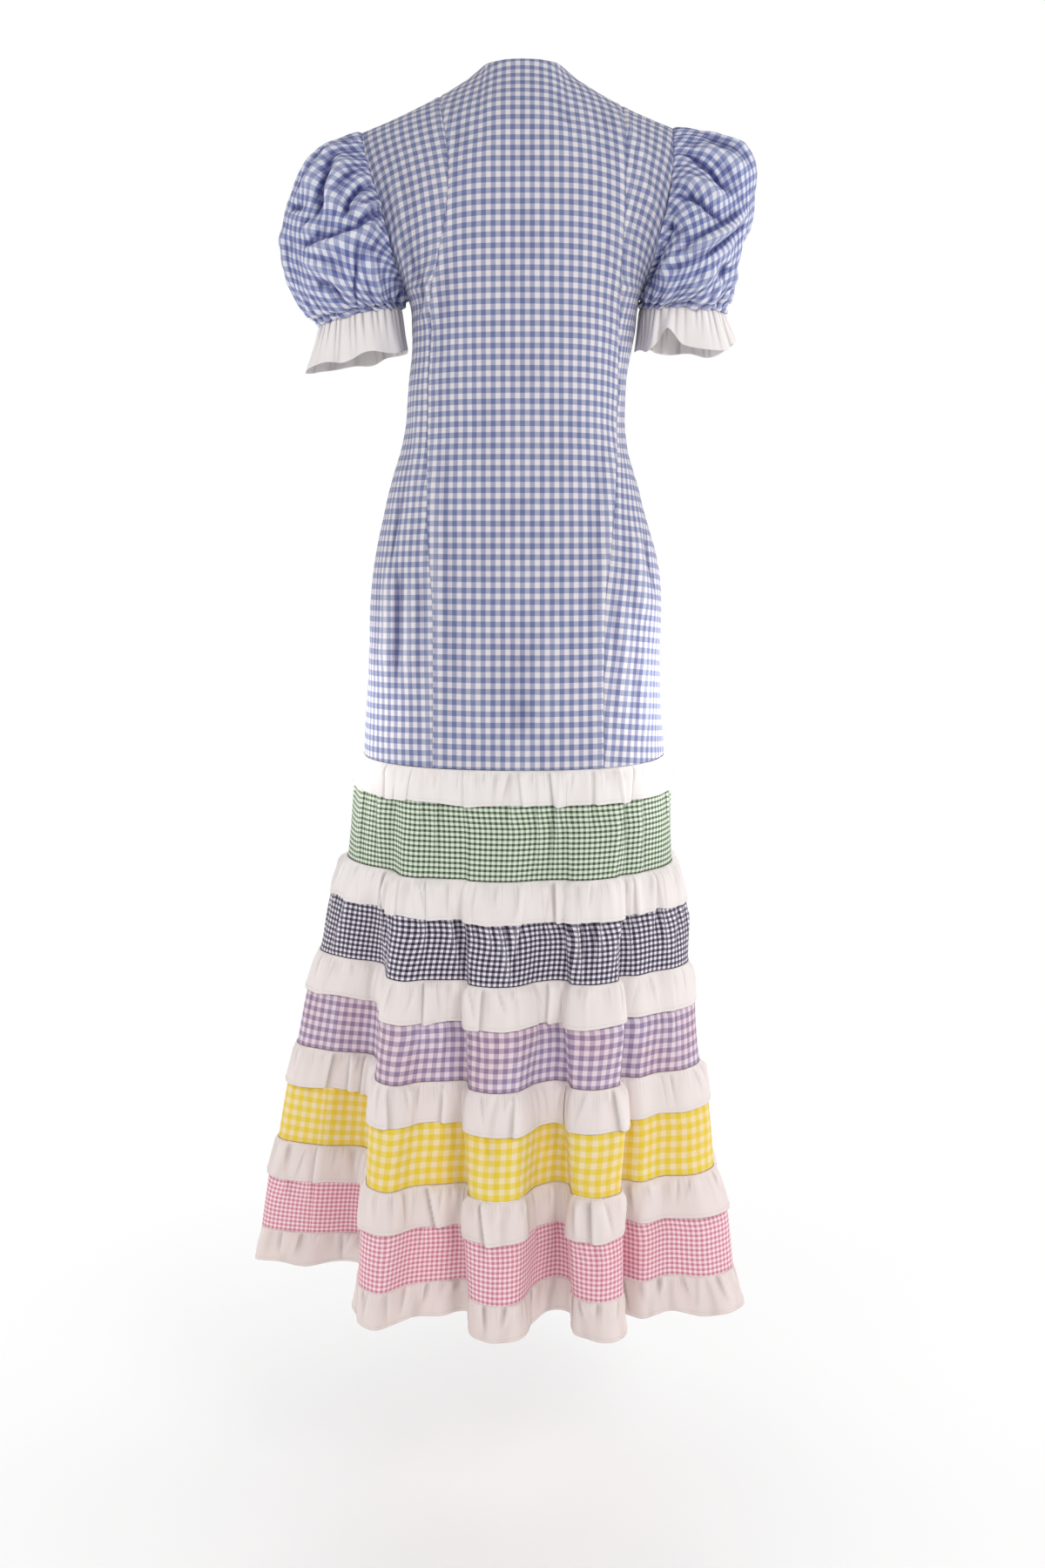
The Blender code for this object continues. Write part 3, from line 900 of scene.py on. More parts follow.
# The sleeves' copy of the blue gingham: its own colours, and a deeper painted shade in its folds.
SLEEVE_BLUE = replace(
    BLUE, dark=(100, 112, 168), mid=(156, 163, 200), weft=(156, 163, 200), pale=(226, 226, 238),
    hollow=(92, 96, 164), ending="_sleeve_cloth")
GREEN = Gingham(
    "green_gingham", dark=(58, 74, 54), mid=(176, 192, 168), weft=(138, 154, 130), pale=(230, 240, 222),
    across=0.0054, down=0.0055, share=0.46, blush_share=0.15, hollow=(112, 124, 112))
NAVY = Gingham(
    "navy_gingham", dark=(30, 26, 44), mid=(136, 130, 146), weft=(126, 120, 136), pale=(242, 236, 246),
    across=0.0056, down=0.00565, blush_share=0.1, hollow=(80, 76, 104))
LILAC = Gingham(
    "lilac_gingham", dark=(148, 130, 166), mid=(196, 178, 200), weft=(192, 174, 196), pale=(238, 222, 234),
    across=0.0094, down=0.01055, blush=(255, 232, 220), blush_share=0.45, hollow=(172, 150, 190))
YELLOW = Gingham(
    "yellow_gingham", dark=(240, 210, 56), mid=(242, 218, 122), weft=(242, 218, 122), pale=(248, 228, 186),
    across=0.0113, down=0.0117, blush=(255, 240, 226), blush_share=0.4, hollow=(196, 176, 120))
PINK = Gingham(
    "pink_gingham", dark=(204, 132, 150), mid=(244, 186, 198), weft=(240, 181, 194), pale=(255, 234, 241),
    across=0.005, down=0.005, blush=(255, 240, 240), blush_share=0.4, hollow=(206, 150, 166))
RUFFLE = WhiteCotton()


# The body of the dress


@dataclass(frozen=True)
class Section:
    """How far the body reaches from the middle at one height."""

    height: float
    left: float
    right: float
    back: float
    front: float


@dataclass(frozen=True)
class SeamPoint:
    """How far out a seam lies from the middle at one height."""

    height: float
    left: float
    right: float


@dataclass(frozen=True)
class ShoulderPoint:
    """A point of the shoulder line: how far out, how high, how far back."""

    out: float
    height: float
    back: float


SECTIONS = metres(
    Section,
    (50, 215, 210, 74, 30),
    (0, 210, 205, 75, 40),
    (-50, 208, 200, 96, 66),
    (-100, 197, 192, 109, 88),
    (-150, 183, 182, 117, 106),
    (-200, 163, 165, 120, 120),
    (-250, 129, 133, 120, 122),
    (-300, 123, 124, 119, 113),
    (-352, 127, 116, 118, 100),
    (-415, 134, 116, 119, 96),
    (-479, 151, 132, 121, 100),
    (-566, 167, 153, 125, 108),
    (-689, 174, 154, 129, 113),
    (-765, 177, 158, 130, 114),
)
SHOULDER = metres(
    ShoulderPoint,
    (45, 2, 16),
    (62, -12, 14),
    (92, -30, 10),
    (140, -53, 3),
    (180, -69, 0),
)
BACK_PRINCESS = metres(
    SeamPoint,
    (0, 92, 111),
    (-35, 89, 111),
    (-84, 80, 113),
    (-165, 81, 111),
    (-256, 96, 106),
    (-400, 103, 104),
    (-510, 102, 98),
    (-600, 96, 88),
    (-765, 96, 86),
)
FRONT_PRINCESS = metres(
    SeamPoint,
    (0, 92, 111),
    (-35, 92, 109),
    (-120, 90, 96),
    (-220, 88, 88),
    (-380, 72, 70),
    (-550, 84, 80),
    (-765, 92, 86),
)
ARMHOLE = metres(
    SeamPoint,
    (-60, 180, 168),
    (-100, 168, 165),
    (-142, 158, 161),
    (-191, 147, 150),
    (-226, 137, 141),
    (-250, 129, 133),
)
SHOULDER_TIP = {Side.LEFT: 0.18, Side.RIGHT: 0.168}


@dataclass(frozen=True)
class Torso:
    """The blue body as a run of rounded sections, the same as its CAD nodes."""

    neck_point: float = 0.002
    underarm: float = -0.25
    blue_hem: float = -0.765
    neck_half: float = 0.045
    neck_rise: float = 0.048
    v_rise: float = 0.26
    v_curve: float = 0.9
    round_back: float = 0.14
    round_front: float = 0.12
    roundness: float = 2.3
    top_draw: float = 4.0

    def reach(self, side: Side, height: Array) -> Array:
        """Half width of the section on one side."""
        return self.seam(SECTIONS, side, height)

    def seam(self, table: Sequence[SeamPoint | Section], side: Side, height: Array) -> Array:
        """How far out a seam lies on one side."""
        return Curve.of(table, "height", side.word()).at(height)

    def princess(self, face: Face) -> Sequence[SeamPoint]:
        """The princess seams of the back or the front."""
        return BACK_PRINCESS if face is Face.BACK else FRONT_PRINCESS

    def shoulder_height(self, out: Array) -> Array:
        """Height of the shoulder line, which runs on up as a neck inside the neckline."""
        out = np.asarray(out, dtype=float)
        neck = self.neck_point + self.neck_rise * (1 - (out / self.neck_half) ** 2)
        line = Curve.of(SHOULDER, "out", "height").at(out)
        return np.where(out < self.neck_half, neck, line)

    def sheet(self, face: Face, side: Side, out: Array, height: Array, top_out: Array) -> Array:
        """Points of the blue cloth.

        Args:
            face: the back or the front.
            side: the wearer's side.
            out: how far out from the middle.
            height: how high.
            top_out: how far out the point's own column ends at the shoulder.

        Returns:
            Points, the last axis holding x, y and z.
        """
        share = np.clip(out / self.reach(side, height), 0.0, 1.0)
        deep = (1 - share ** self.roundness) ** (1 / self.roundness)
        depth = Curve.of(SECTIONS, "height", face.word()).at(height)
        base = Curve.of(SHOULDER, "out", "back").at(np.maximum(top_out, self.neck_half))
        rounding = self.round_back if face is Face.BACK else self.round_front
        near = np.clip((self.shoulder_height(top_out) - height) / rounding, 0.0, 1.0)
        settle = np.sqrt(1 - (1 - near) ** 2)
        y = base * (1 - settle) + face.value * depth * deep * settle
        return np.stack(np.broadcast_arrays(side.value * out, y, height), axis=-1)

    def angle(self, side: Side, out: Array, height: Array) -> Array:
        """Angle round the section at which the cloth lies this far out."""
        share = np.clip(out / self.reach(side, height), 0.0, 1.0)
        return np.arcsin(share ** (self.roundness / 2))

    def spread(self, side: Side, height: Array, inner: Array, outer: Array, share: Array) -> Array:
        """How far out a point lies a share of the way round from an inner to an outer line."""
        low = self.angle(side, inner, height)
        high = self.angle(side, outer, height)
        turn = np.sin(low + (high - low) * share)
        return self.reach(side, height) * turn ** (2 / self.roundness)

    def v_out(self, height: Array) -> Array:
        """Half width of the V neck at a height."""
        foot = self.underarm + (self.neck_point - self.underarm) * self.v_rise
        share = np.clip((height - foot) / (self.neck_point - foot), 0.0, 1.0)
        return self.neck_half * share ** self.v_curve

    def ring_point(self, turn: Array, height: float) -> Array:
        """Points of the full section at one height.

        Args:
            turn: turns in degrees from the centre back towards the left.
            height: the section's height.

        Returns:
            A point for each turn.
        """
        angle = np.radians(turn)
        points = np.zeros((*angle.shape, 3))
        for face, side in itertools.product(Face, Side):
            here = (np.sin(angle) >= 0) == (side is Side.LEFT)
            here &= (np.cos(angle) >= 0) == (face is Face.BACK)
            out = self.reach(side, height) * np.abs(np.sin(angle)) ** (2 / self.roundness)
            made = self.sheet(face, side, out, np.full(out.shape, height), np.full(out.shape, self.neck_half))
            points = np.where(here[..., None], made, points)
        return points


TORSO = Torso()


# Folds of the blue cloth, laid from the photograph: across and up, in millimetres
BACK_CREASES = (
    step(2.8, 4.2, 5.0, (106, -222), (101, -254), (104, -274), (117, -290)),
    soft(7, 3, (142, -180), (128, -220), (113, -272)),
    soft(5, -1.8, (130, -195), (111, -247)),
    soft(8, 2.2, (146, -120), (132, -165), (126, -200)),
    soft(8, 2.6, (-108, -60), (-124, -90), (-141, -120)),
    soft(7, 2, (-118, -105), (-140, -150), (-146, -185)),
    soft(8, 2, (-125, -190), (-118, -240), (-112, -300)),
    soft(12, -1.2, (-30, -35), (-55, -80)),
    soft(12, -1.2, (60, -60), (75, -110), (78, -170)),
    soft(6.5, 1.6, (93, -380), (94, -450), (91, -560), (88, -690)),
    soft(6.5, 1.6, (-98, -380), (-94, -450), (-86, -560), (-82, -690)),
    soft(6, 2, (118, -340), (115, -420), (121, -500)),
    soft(5.5, 2.2, (121, -545), (123, -610), (125, -700)),
    sharp(3.5, -3.6, (133, -545), (135, -600), (137, -680)),
    soft(6, 2.6, (148, -530), (149, -600), (151, -700)),
    sharp(3, -3, (128, -455), (137, -500), (147, -560)),
    sharp(3, -3.4, (-132, -505), (-140, -550), (-148, -592)),
    soft(6, 2.2, (-122, -500), (-130, -560), (-134, -620)),
    soft(7, 1.8, (-108, -560), (-112, -640), (-110, -740)),
    soft(7, 2, (-130, -620), (-134, -690), (-133, -755)),
    soft(14, 1.2, (45, -600), (52, -680), (50, -750)),
    soft(15, 1.2, (-30, -590), (-26, -670), (-30, -750)),
)
FRONT_CREASES = (
    soft(7, 3, (88, -225), (112, -200), (138, -165)),
    soft(6, 2.2, (94, -262), (120, -236)),
    soft(7, 2.8, (-86, -222), (-112, -196), (-140, -160)),
    soft(6, 2, (-92, -275), (-118, -245)),
    soft(12, 1.2, (30, -250), (52, -215)),
    soft(12, 1.2, (-28, -258), (-50, -220)),
    soft(6.5, 2, (100, -350), (104, -430), (118, -500)),
    soft(6.5, 2, (-94, -350), (-96, -430), (-108, -505)),
    sharp(3, -3, (128, -500), (140, -545), (150, -600)),
    sharp(3, -3, (-122, -495), (-134, -545), (-144, -600)),
    soft(7, 2, (112, -560), (116, -650), (114, -750)),
    soft(6.5, 2.2, (142, -590), (148, -670), (146, -750)),
    soft(7, 2, (-104, -555), (-108, -650), (-106, -750)),
    soft(6.5, 2, (-130, -610), (-132, -690), (-130, -752)),
    soft(15, 1.4, (38, -560), (44, -650), (40, -745)),
    soft(15, 1.4, (-34, -575), (-40, -660), (-36, -745)),
    soft(16, 1.2, (4, -610), (0, -690), (3, -750)),
)
SIDE_GRAIN = {Side.LEFT: 3.0, Side.RIGHT: 8.0}


@dataclass(frozen=True)
class Bodice:
    """The six blue panels, from the neck and shoulders to the thigh."""

    torso: Torso = TORSO
    lower_rows: int = 112
    upper_rows: int = 58
    side_columns: int = 28
    center_columns: int = 22
    turned_edge: tuple[float, ...] = (0.0, 0.01, 0.022, 0.038)
    seam_dip: float = 0.0006
    seam_width: float = 0.0017
    seam_swell: float = 0.0009
    crumple: float = 0.0012
    crumple_size: float = 0.05
    fine_crumple: float = 0.00035
    fine_size: float = 0.018
    creases: dict[Face, tuple[Crease, ...]] = field(
        default_factory=lambda: {Face.BACK: BACK_CREASES, Face.FRONT: FRONT_CREASES})

    def shares(self, columns: int, extra: Sequence[float] = ()) -> Array:
        """Columns of a panel as shares of its width, closer together at its sewn edges."""
        edge = np.array(self.turned_edge)
        middle = np.linspace(2 * edge[-1], 1 - 2 * edge[-1], columns)
        return np.unique(np.round(np.concatenate([edge, middle, 1 - edge, extra]), 6))

    def heights(self) -> Array:
        """Rows below the underarm."""
        edge = self.torso.blue_hem + np.array([0.0, 0.0012, 0.003])
        rest = np.linspace(self.torso.blue_hem + 0.006, self.torso.underarm, self.lower_rows)
        return np.concatenate([edge, rest[:-1]])

    def rises(self) -> Array:
        """Rows above the underarm, as shares of the way up."""
        rest = np.linspace(0.0, 0.97, self.upper_rows)
        return np.unique(np.concatenate([rest, [self.torso.v_rise, 0.98, 0.988, 0.995, 1.0]]))

    def points(self, face: Face, side: Side, shares: Array, top_out: Array,
               below: Lines, above: Lines) -> Array:
        """Points of the cloth between two seams, from the inner one out, and from the hem up.

        Args:
            face: the back or the front.
            side: the wearer's side.
            shares: each column's share of the way out.
            top_out: how far out each column ends at the shoulder.
            below: gives the inner and the outer seam at heights under the arm.
            above: gives them from the underarm up.

        Returns:
            Rows and columns of points.
        """
        torso = self.torso
        heights = self.heights()[:, None]
        out = torso.spread(side, heights, *below(heights), shares)
        lower = torso.sheet(face, side, out, heights, np.full(out.shape, torso.neck_half))
        rise = self.rises()[:, None]
        top = torso.shoulder_height(np.maximum(top_out, torso.neck_half))
        height = torso.underarm + (top - torso.underarm) * rise
        out = torso.spread(side, height, *above(height), shares)
        out = out + (top_out - out) * rise ** torso.top_draw
        return np.concatenate([lower, torso.sheet(face, side, out, height, top_out)])

    def side_grid(self, face: Face, side: Side) -> Array:
        """Points of a side panel.

        Args:
            face: the back or the front.
            side: the wearer's side.

        Returns:
            Rows from the hem up, and columns from the princess seam out.
        """
        torso, table = self.torso, self.torso.princess(face)
        shares = self.shares(self.side_columns)[None, :]
        princess_top = torso.seam(table, side, 0.0)
        top_out = princess_top + (SHOULDER_TIP[side] - princess_top) * shares
        return self.points(
            face, side, shares, top_out,
            lambda height: (torso.seam(table, side, height), torso.reach(side, height)),
            lambda height: (torso.seam(table, side, height), torso.seam(ARMHOLE, side, height)))

    def center_half(self, face: Face, side: Side) -> Array:
        """Points of half a centre panel.

        Args:
            face: the back or the front.
            side: the wearer's side.

        Returns:
            Rows from the hem up, and columns from the middle out.
        """
        torso, table = self.torso, self.torso.princess(face)
        princess_top = torso.seam(table, side, 0.0)
        shares = self.shares(self.center_columns, (float(torso.neck_half / princess_top),))[None, :]
        if face is Face.BACK:
            shares = np.concatenate([[[0.0]], shares[:, shares[0] > self.turned_edge[-1]]], axis=1)
            top_out = princess_top * shares
        else:
            top_out = torso.neck_half + (princess_top - torso.neck_half) * shares
        neck = torso.v_out if face is Face.FRONT else np.zeros_like
        return self.points(
            face, side, shares, top_out,
            lambda height: (0.0, torso.seam(table, side, height)),
            lambda height: (neck(height), torso.seam(table, side, height)))

    def weave(self, grid: Array, middle: int, mate: int, turn: float = 0.0) -> Array:
        """Lay the weave flat on a panel, its grain running up between two columns.

        Args:
            grid: the panel's points.
            middle: the column on one side of the grain line.
            mate: the column on the other side, or the same one.
            turn: how far the grain leans, in degrees, its rows falling along the columns' order.

        Returns:
            Across and up, in metres, for each point.
        """
        level, upright = grid.copy(), grid.copy()
        level[..., 2] = 0.0
        upright[..., 0] = 0.0
        across = np.cumsum(steps_along(level, 1), axis=1)
        across -= (across[:, middle:middle + 1] + across[:, mate:mate + 1]) / 2
        up = np.cumsum(steps_along(upright, 0), axis=0)
        sine, cosine = math.sin(math.radians(turn)), math.cos(math.radians(turn))
        return paired(across * cosine - up * sine, up * cosine + across * sine)

    def push(self, grid: Array, face: Face, armhole: bool = False) -> tuple[Array, Array]:
        """Crease and crumple a panel's cloth and turn in its sewn edges.

        Args:
            grid: the panel's plain points.
            face: the back or the front.
            armhole: whether the last column is an armhole above the underarm, which lies flat.

        Returns:
            The moved points, and their relief.
        """
        normals = grid_normals(grid, False, np.array([0.0, 0.0, 1.0]) * grid)
        across = np.cumsum(steps_along(grid, 1), axis=1)
        up = np.cumsum(steps_along(grid, 0), axis=0)
        outer = across[:, -1:] - across
        if armhole:
            outer[len(self.heights()):] += 1.0
        edge = np.minimum(np.minimum(across, outer), up[-1:] - up) / self.seam_width
        lift = -self.seam_dip * np.exp(-edge ** 2)
        lift += self.seam_swell * np.exp(-((edge - 3.2) / 1.5) ** 2)
        for crease in self.creases[face]:
            lift += crease.lift(grid[..., 0], grid[..., 2])
        lift += self.crumple * cloud_noise(grid, self.crumple_size, 11)
        lift += self.fine_crumple * cloud_noise(grid, self.fine_size, 12)
        return grid + normals * lift[..., None], relief_of(lift, False)

    def center_panel(self, face: Face, finish: Material) -> Piece:
        """Make a whole centre panel.

        Args:
            face: the back or the front.
            finish: the blue gingham.

        Returns:
            The panel, its columns from the wearer's right to the left.
        """
        right, left = self.center_half(face, Side.RIGHT), self.center_half(face, Side.LEFT)
        first = 1 if face is Face.BACK else 0
        grid = np.concatenate([right[:, ::-1], left[:, first:]], axis=1)
        middle = right.shape[1] - 1
        mate = middle + 1 - first
        cloth, relief = self.push(grid, face)
        hole = None
        if face is Face.FRONT:
            joined = np.linalg.norm(grid[:, middle] - grid[:, mate], axis=-1) < SAME_POINT
            mean = (cloth[:, middle] + cloth[:, mate]) / 2
            cloth[joined, middle] = mean[joined]
            cloth[joined, mate] = mean[joined]
            hole = np.zeros((grid.shape[0] - 1, grid.shape[1] - 1), dtype=bool)
            hole[:, middle] = True
        node = f"bodice_{face.word()}_center"
        return self.panel(node, cloth, relief, self.weave(grid, middle, mate), finish, hole)

    def panel(self, node: str, cloth: Array, relief: Array, weave: Array, finish: Material,
              hole: Array | None = None) -> Piece:
        """Make one panel in place of its node.

        Args:
            node: the CAD node that it stands for.
            cloth: the panel's points.
            relief: how far each stands out of the cloth round it.
            weave: their places in the flat cloth.
            finish: the blue gingham.
            hole: true for each face that is left out.

        Returns:
            The panel.
        """
        core = np.array([0.0, 0.0, float(cloth[..., 2].mean())])
        piece = make_cloth(node + "_cloth", cloth, weave, False, core, hole, relief)
        dress(piece, node, finish)
        cloth_area(cloth, hole)
        return piece

    def build(self, finish: Material) -> list[Piece]:
        """Make and dress the six panels.

        Args:
            finish: the blue gingham.

        Returns:
            The panels.
        """
        pieces = []
        for face in Face:
            pieces.append(self.center_panel(face, finish))
            for side in Side:
                grid = self.side_grid(face, side)
                middle = grid.shape[1] // 2
                node = f"bodice_{face.word()}_side_{side.word()}"
                weave = self.weave(grid, middle, middle, SIDE_GRAIN[side])
                pieces.append(self.panel(node, *self.push(grid, face, True), weave, finish))
        return pieces

    def armhole(self, side: Side) -> Array:
        """The armhole's points, up the back from the underarm, over the shoulder, down the front."""
        rows = len(self.rises())
        back = self.side_grid(Face.BACK, side)[-rows:, -1]
        front = self.side_grid(Face.FRONT, side)[-rows:, -1]
        return np.concatenate([back, front[-2:0:-1]])

    def neck_lines(self) -> list[tuple[Array, bool]]:
        """Lines of stitches a little below the neckline, none of them closed."""
        lines = []
        for face, side in itertools.product(Face, Side):
            half = self.center_half(face, side)
            cloth, _ = self.push(half, face)
            cloth = cloth + grid_normals(cloth, False, np.array([0.0, 0.0, 1.0]) * cloth) * STITCH_OUT
            if face is Face.BACK:
                inside = np.abs(half[-1, :, 0]) <= self.torso.neck_half + SAME_POINT
                lines.append((cloth[-5][inside], False))
            else:
                first = len(self.heights()) + int(np.searchsorted(self.rises(), self.torso.v_rise))
                lines.append((cloth[first:-1, 3], False))
        return lines


@dataclass(frozen=True)
class Stitches:
    """Rows of machine stitches, laid along lines of points by a Geometry Nodes tree."""

    stitch: float = 0.0025
    gap: float = 0.001
    radius: float = 0.00024
    seed: int = 5

    def tree(self) -> tuple[bpy.types.NodeTree, dict[str, str]]:
        """Make the tree that turns a line into stitches.

        Returns:
            The tree, and the identifier of each input by its name.
        """
        tree = bpy.data.node_groups.new("stitch_row", "GeometryNodeTree")
        face, nodes = tree.interface, tree.nodes
        face.new_socket("Geometry", in_out="OUTPUT", socket_type="NodeSocketGeometry")
        kinds = {"Geometry": "Geometry", "Stitch Length": "Float", "Gap": "Float", "Thread Radius": "Float",
                 "Seed": "Int", "Material": "Material"}
        names = {}
        for name, kind in kinds.items():
            names[name] = face.new_socket(name, in_out="INPUT", socket_type="NodeSocket" + kind).identifier
        given, out = nodes.new("NodeGroupInput"), nodes.new("NodeGroupOutput")
        step = nodes.new("ShaderNodeMath")
        curve = nodes.new("GeometryNodeMeshToCurve")
        even = nodes.new("GeometryNodeResampleCurve")
        even.mode = "LENGTH"
        rod = nodes.new("GeometryNodeMeshCylinder")
        rod.inputs["Vertices"].default_value = 6
        along = nodes.new("GeometryNodeInputTangent")
        turn = nodes.new("FunctionNodeAlignRotationToVector")
        turn.axis = "Z"
        uneven = nodes.new("FunctionNodeRandomValue")
        uneven.data_type = "FLOAT"
        uneven.inputs[2].default_value = 0.86
        uneven.inputs[3].default_value = 1.06
        place, real = nodes.new("GeometryNodeInstanceOnPoints"), nodes.new("GeometryNodeRealizeInstances")
        finish = nodes.new("GeometryNodeSetMaterial")
        links = (
            (given, "Stitch Length", step, 0), (given, "Gap", step, 1), (step, 0, even, "Length"),
            (given, "Geometry", curve, "Mesh"), (curve, "Curve", even, "Curve"),
            (given, "Thread Radius", rod, "Radius"), (given, "Stitch Length", rod, "Depth"),
            (given, "Seed", uneven, "Seed"), (even, "Curve", place, "Points"),
            (rod, "Mesh", place, "Instance"), (along, 0, turn, "Vector"), (turn, 0, place, "Rotation"),
            (uneven, 1, place, "Scale"), (place, "Instances", real, 0), (real, 0, finish, "Geometry"),
            (given, "Material", finish, "Material"), (finish, 0, out, 0))
        for start, leaves, end, enters in links:
            tree.links.new(start.outputs[leaves], end.inputs[enters])
        return tree, names

    def build(self, name: str, lines: Sequence[tuple[Array, bool]], thread: Material) -> Piece:
        """Sew along some lines.

        Args:
            name: the piece's name.
            lines: points in order, and whether the last joins the first.
            thread: the thread's material.

        Returns:
            The stitches as one plain mesh.
        """
        points, edges = [], []
        for line, closed in lines:
            first, count = len(points), len(line)
            points += line.tolist()
            edges += [(first + k, first + (k + 1) % count) for k in range(count if closed else count - 1)]
        mesh = bpy.data.meshes.new(name + "_line")
        mesh.from_pydata(points, edges, [])
        piece = add_object(name, mesh)
        tree, names = self.tree()
        sewing = piece.modifiers.new("stitches", "NODES")
        sewing.node_group = tree
        values = {"Stitch Length": self.stitch, "Gap": self.gap, "Thread Radius": self.radius,
                  "Seed": self.seed, "Material": thread}
        for key, value in values.items():
            sewing[names[key]] = value
        seen = piece.evaluated_get(bpy.context.evaluated_depsgraph_get())
        plain = bpy.data.meshes.new_from_object(seen)
        piece.modifiers.remove(sewing)
        piece.data = plain
        plain.name = name
        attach(piece, BODY)
        log.info("%s: %d faces", name, len(plain.polygons))
        return piece


# Sleeves


@dataclass(frozen=True)
class SleeveCut:
    """Where one sleeve's cuff hangs, how its puff pulls out and up, and its own folds.

    Folds of its back lie across and up, as seen from behind, and so do those of its rim, which
    run on to the front. The rest run round from the top of the arm, the front below nothing,
    and down from the head.
    """

    side: Side
    cuff_x: float
    cuff_z: float
    tilt: float
    fall: float
    flare: float
    head: tuple[float, float]
    cuff: tuple[float, float]
    seed: int
    back: tuple[Crease, ...]
    rest: tuple[Crease, ...]
    rim: tuple[Crease, ...]
    arches: tuple[tuple[float, float, float], ...]
    outer_rise: float = 0.0


LEFT_BACK = (
    step(3.5, 6.2, 5.0, (196, -78), (214, -100), (232, -128), (250, -152)),
    soft(6, -5.8, (200, -90), (212, -112), (221, -150), (225, -182)),
    soft(7.5, 5.6, (178, -105), (196, -116), (207, -145), (203, -180)),
    soft(4.5, -6.2, (160, -140), (176, -142), (189, -158), (190, -182)),
    soft(5, 4.4, (150, -158), (168, -164), (180, -178)),
    step(2.6, 5.6, 6.0, (148, -168), (176, -193), (204, -204), (248, -212)),
    soft(9, 3.6, (238, -180), (222, -196)),
    soft(6.5, 3.6, (244, -216), (214, -232), (184, -258)),
    soft(5, -3.4, (232, -244), (208, -250), (190, -272)),
    soft(6, 3.4, (168, -210), (164, -240), (152, -262)),
    sharp(2.2, -3.4, (177, -192), (178, -226), (182, -252), (180, -280)),
)
RIGHT_BACK = (
    sharp(4.5, -6.2, (-176, -98), (-206, -120), (-230, -150)),
    soft(8, 5, (-186, -86), (-222, -106), (-248, -128)),
    sharp(4.2, -5.6, (-162, -146), (-188, -156), (-222, -184)),
    soft(7, 4.4, (-168, -128), (-196, -140), (-222, -162)),
    soft(5.5, 6.4, (-256, -156), (-230, -184), (-184, -212), (-144, -238)),
    soft(5, -5.8, (-252, -170), (-226, -200), (-190, -226)),
    sharp(5, -5.8, (-163, -164), (-158, -188), (-142, -228), (-137, -252)),
    soft(5, 4.2, (-180, -190), (-168, -210), (-152, -250)),
    soft(6, 4, (-214, -226), (-196, -244), (-176, -254)),
    soft(4.5, -4, (-228, -222), (-216, -246)),
)
LEFT_REST = (
    soft(8, 4.8, (20, 10), (34, 50), (30, 90)),
    sharp(6, -4.4, (0, 15), (4, 70), (-6, 120)),
    soft(8, 5, (-30, 10), (-55, 70), (-60, 120)),
    sharp(6, -4.4, (-85, 15), (-95, 80)),
    soft(7, 5, (-130, 30), (-115, 90), (-85, 140)),
    step(4.5, 4.8, 5.0, (-40, 130), (-60, 170), (-90, 180)),
    soft(6, 4, (30, 140), (36, 200)),
    soft(6, -4, (10, 160), (-10, 210)),
)
RIGHT_REST = (
    soft(8, 5, (20, 20), (22, 70), (10, 120)),
    sharp(5.5, -4.4, (-12, 20), (-20, 80), (-16, 130)),
    soft(9, 5, (-45, 20), (-60, 90), (-55, 150)),
    soft(7, -4.4, (-90, 15), (-105, 80), (-95, 130)),
    soft(6, 4.4, (-140, 30), (-120, 90)),
    step(4.5, 4.8, 5.0, (40, 150), (60, 190), (90, 200)),
    soft(6, 4, (-30, 160), (-45, 210)),
    soft(6, -4, (0, 170), (4, 225)),
)
LEFT_RIM = (
    soft(12, 3, (205, -62), (236, -100), (262, -140)),
    soft(5, -4, (262, -158), (240, -160)),
    soft(12, 3, (278, -176), (272, -205)),
)
RIGHT_RIM = (
    soft(13, 7, (-226, -70), (-250, -104), (-262, -140)),
    soft(18, -8, (-262, -178), (-252, -222), (-236, -250)),
)
SLEEVES = (
    SleeveCut(Side.LEFT, 0.183, -0.276, 14.0, 0.05, 0.016, (0.088, 0.000), (0.08, 0.056), 21,
              LEFT_BACK, LEFT_REST, LEFT_RIM, ((0.17, 0.014, 0.004),)),
    SleeveCut(Side.RIGHT, 0.18, -0.269, 4.0, 0.046, 0.014, (0.112, 0.006), (0.05, 0.1), 22,
              RIGHT_BACK, RIGHT_REST, RIGHT_RIM, ((-0.163, 0.009, 0.022), (-0.144, 0.008, -0.005)), 0.022),
)


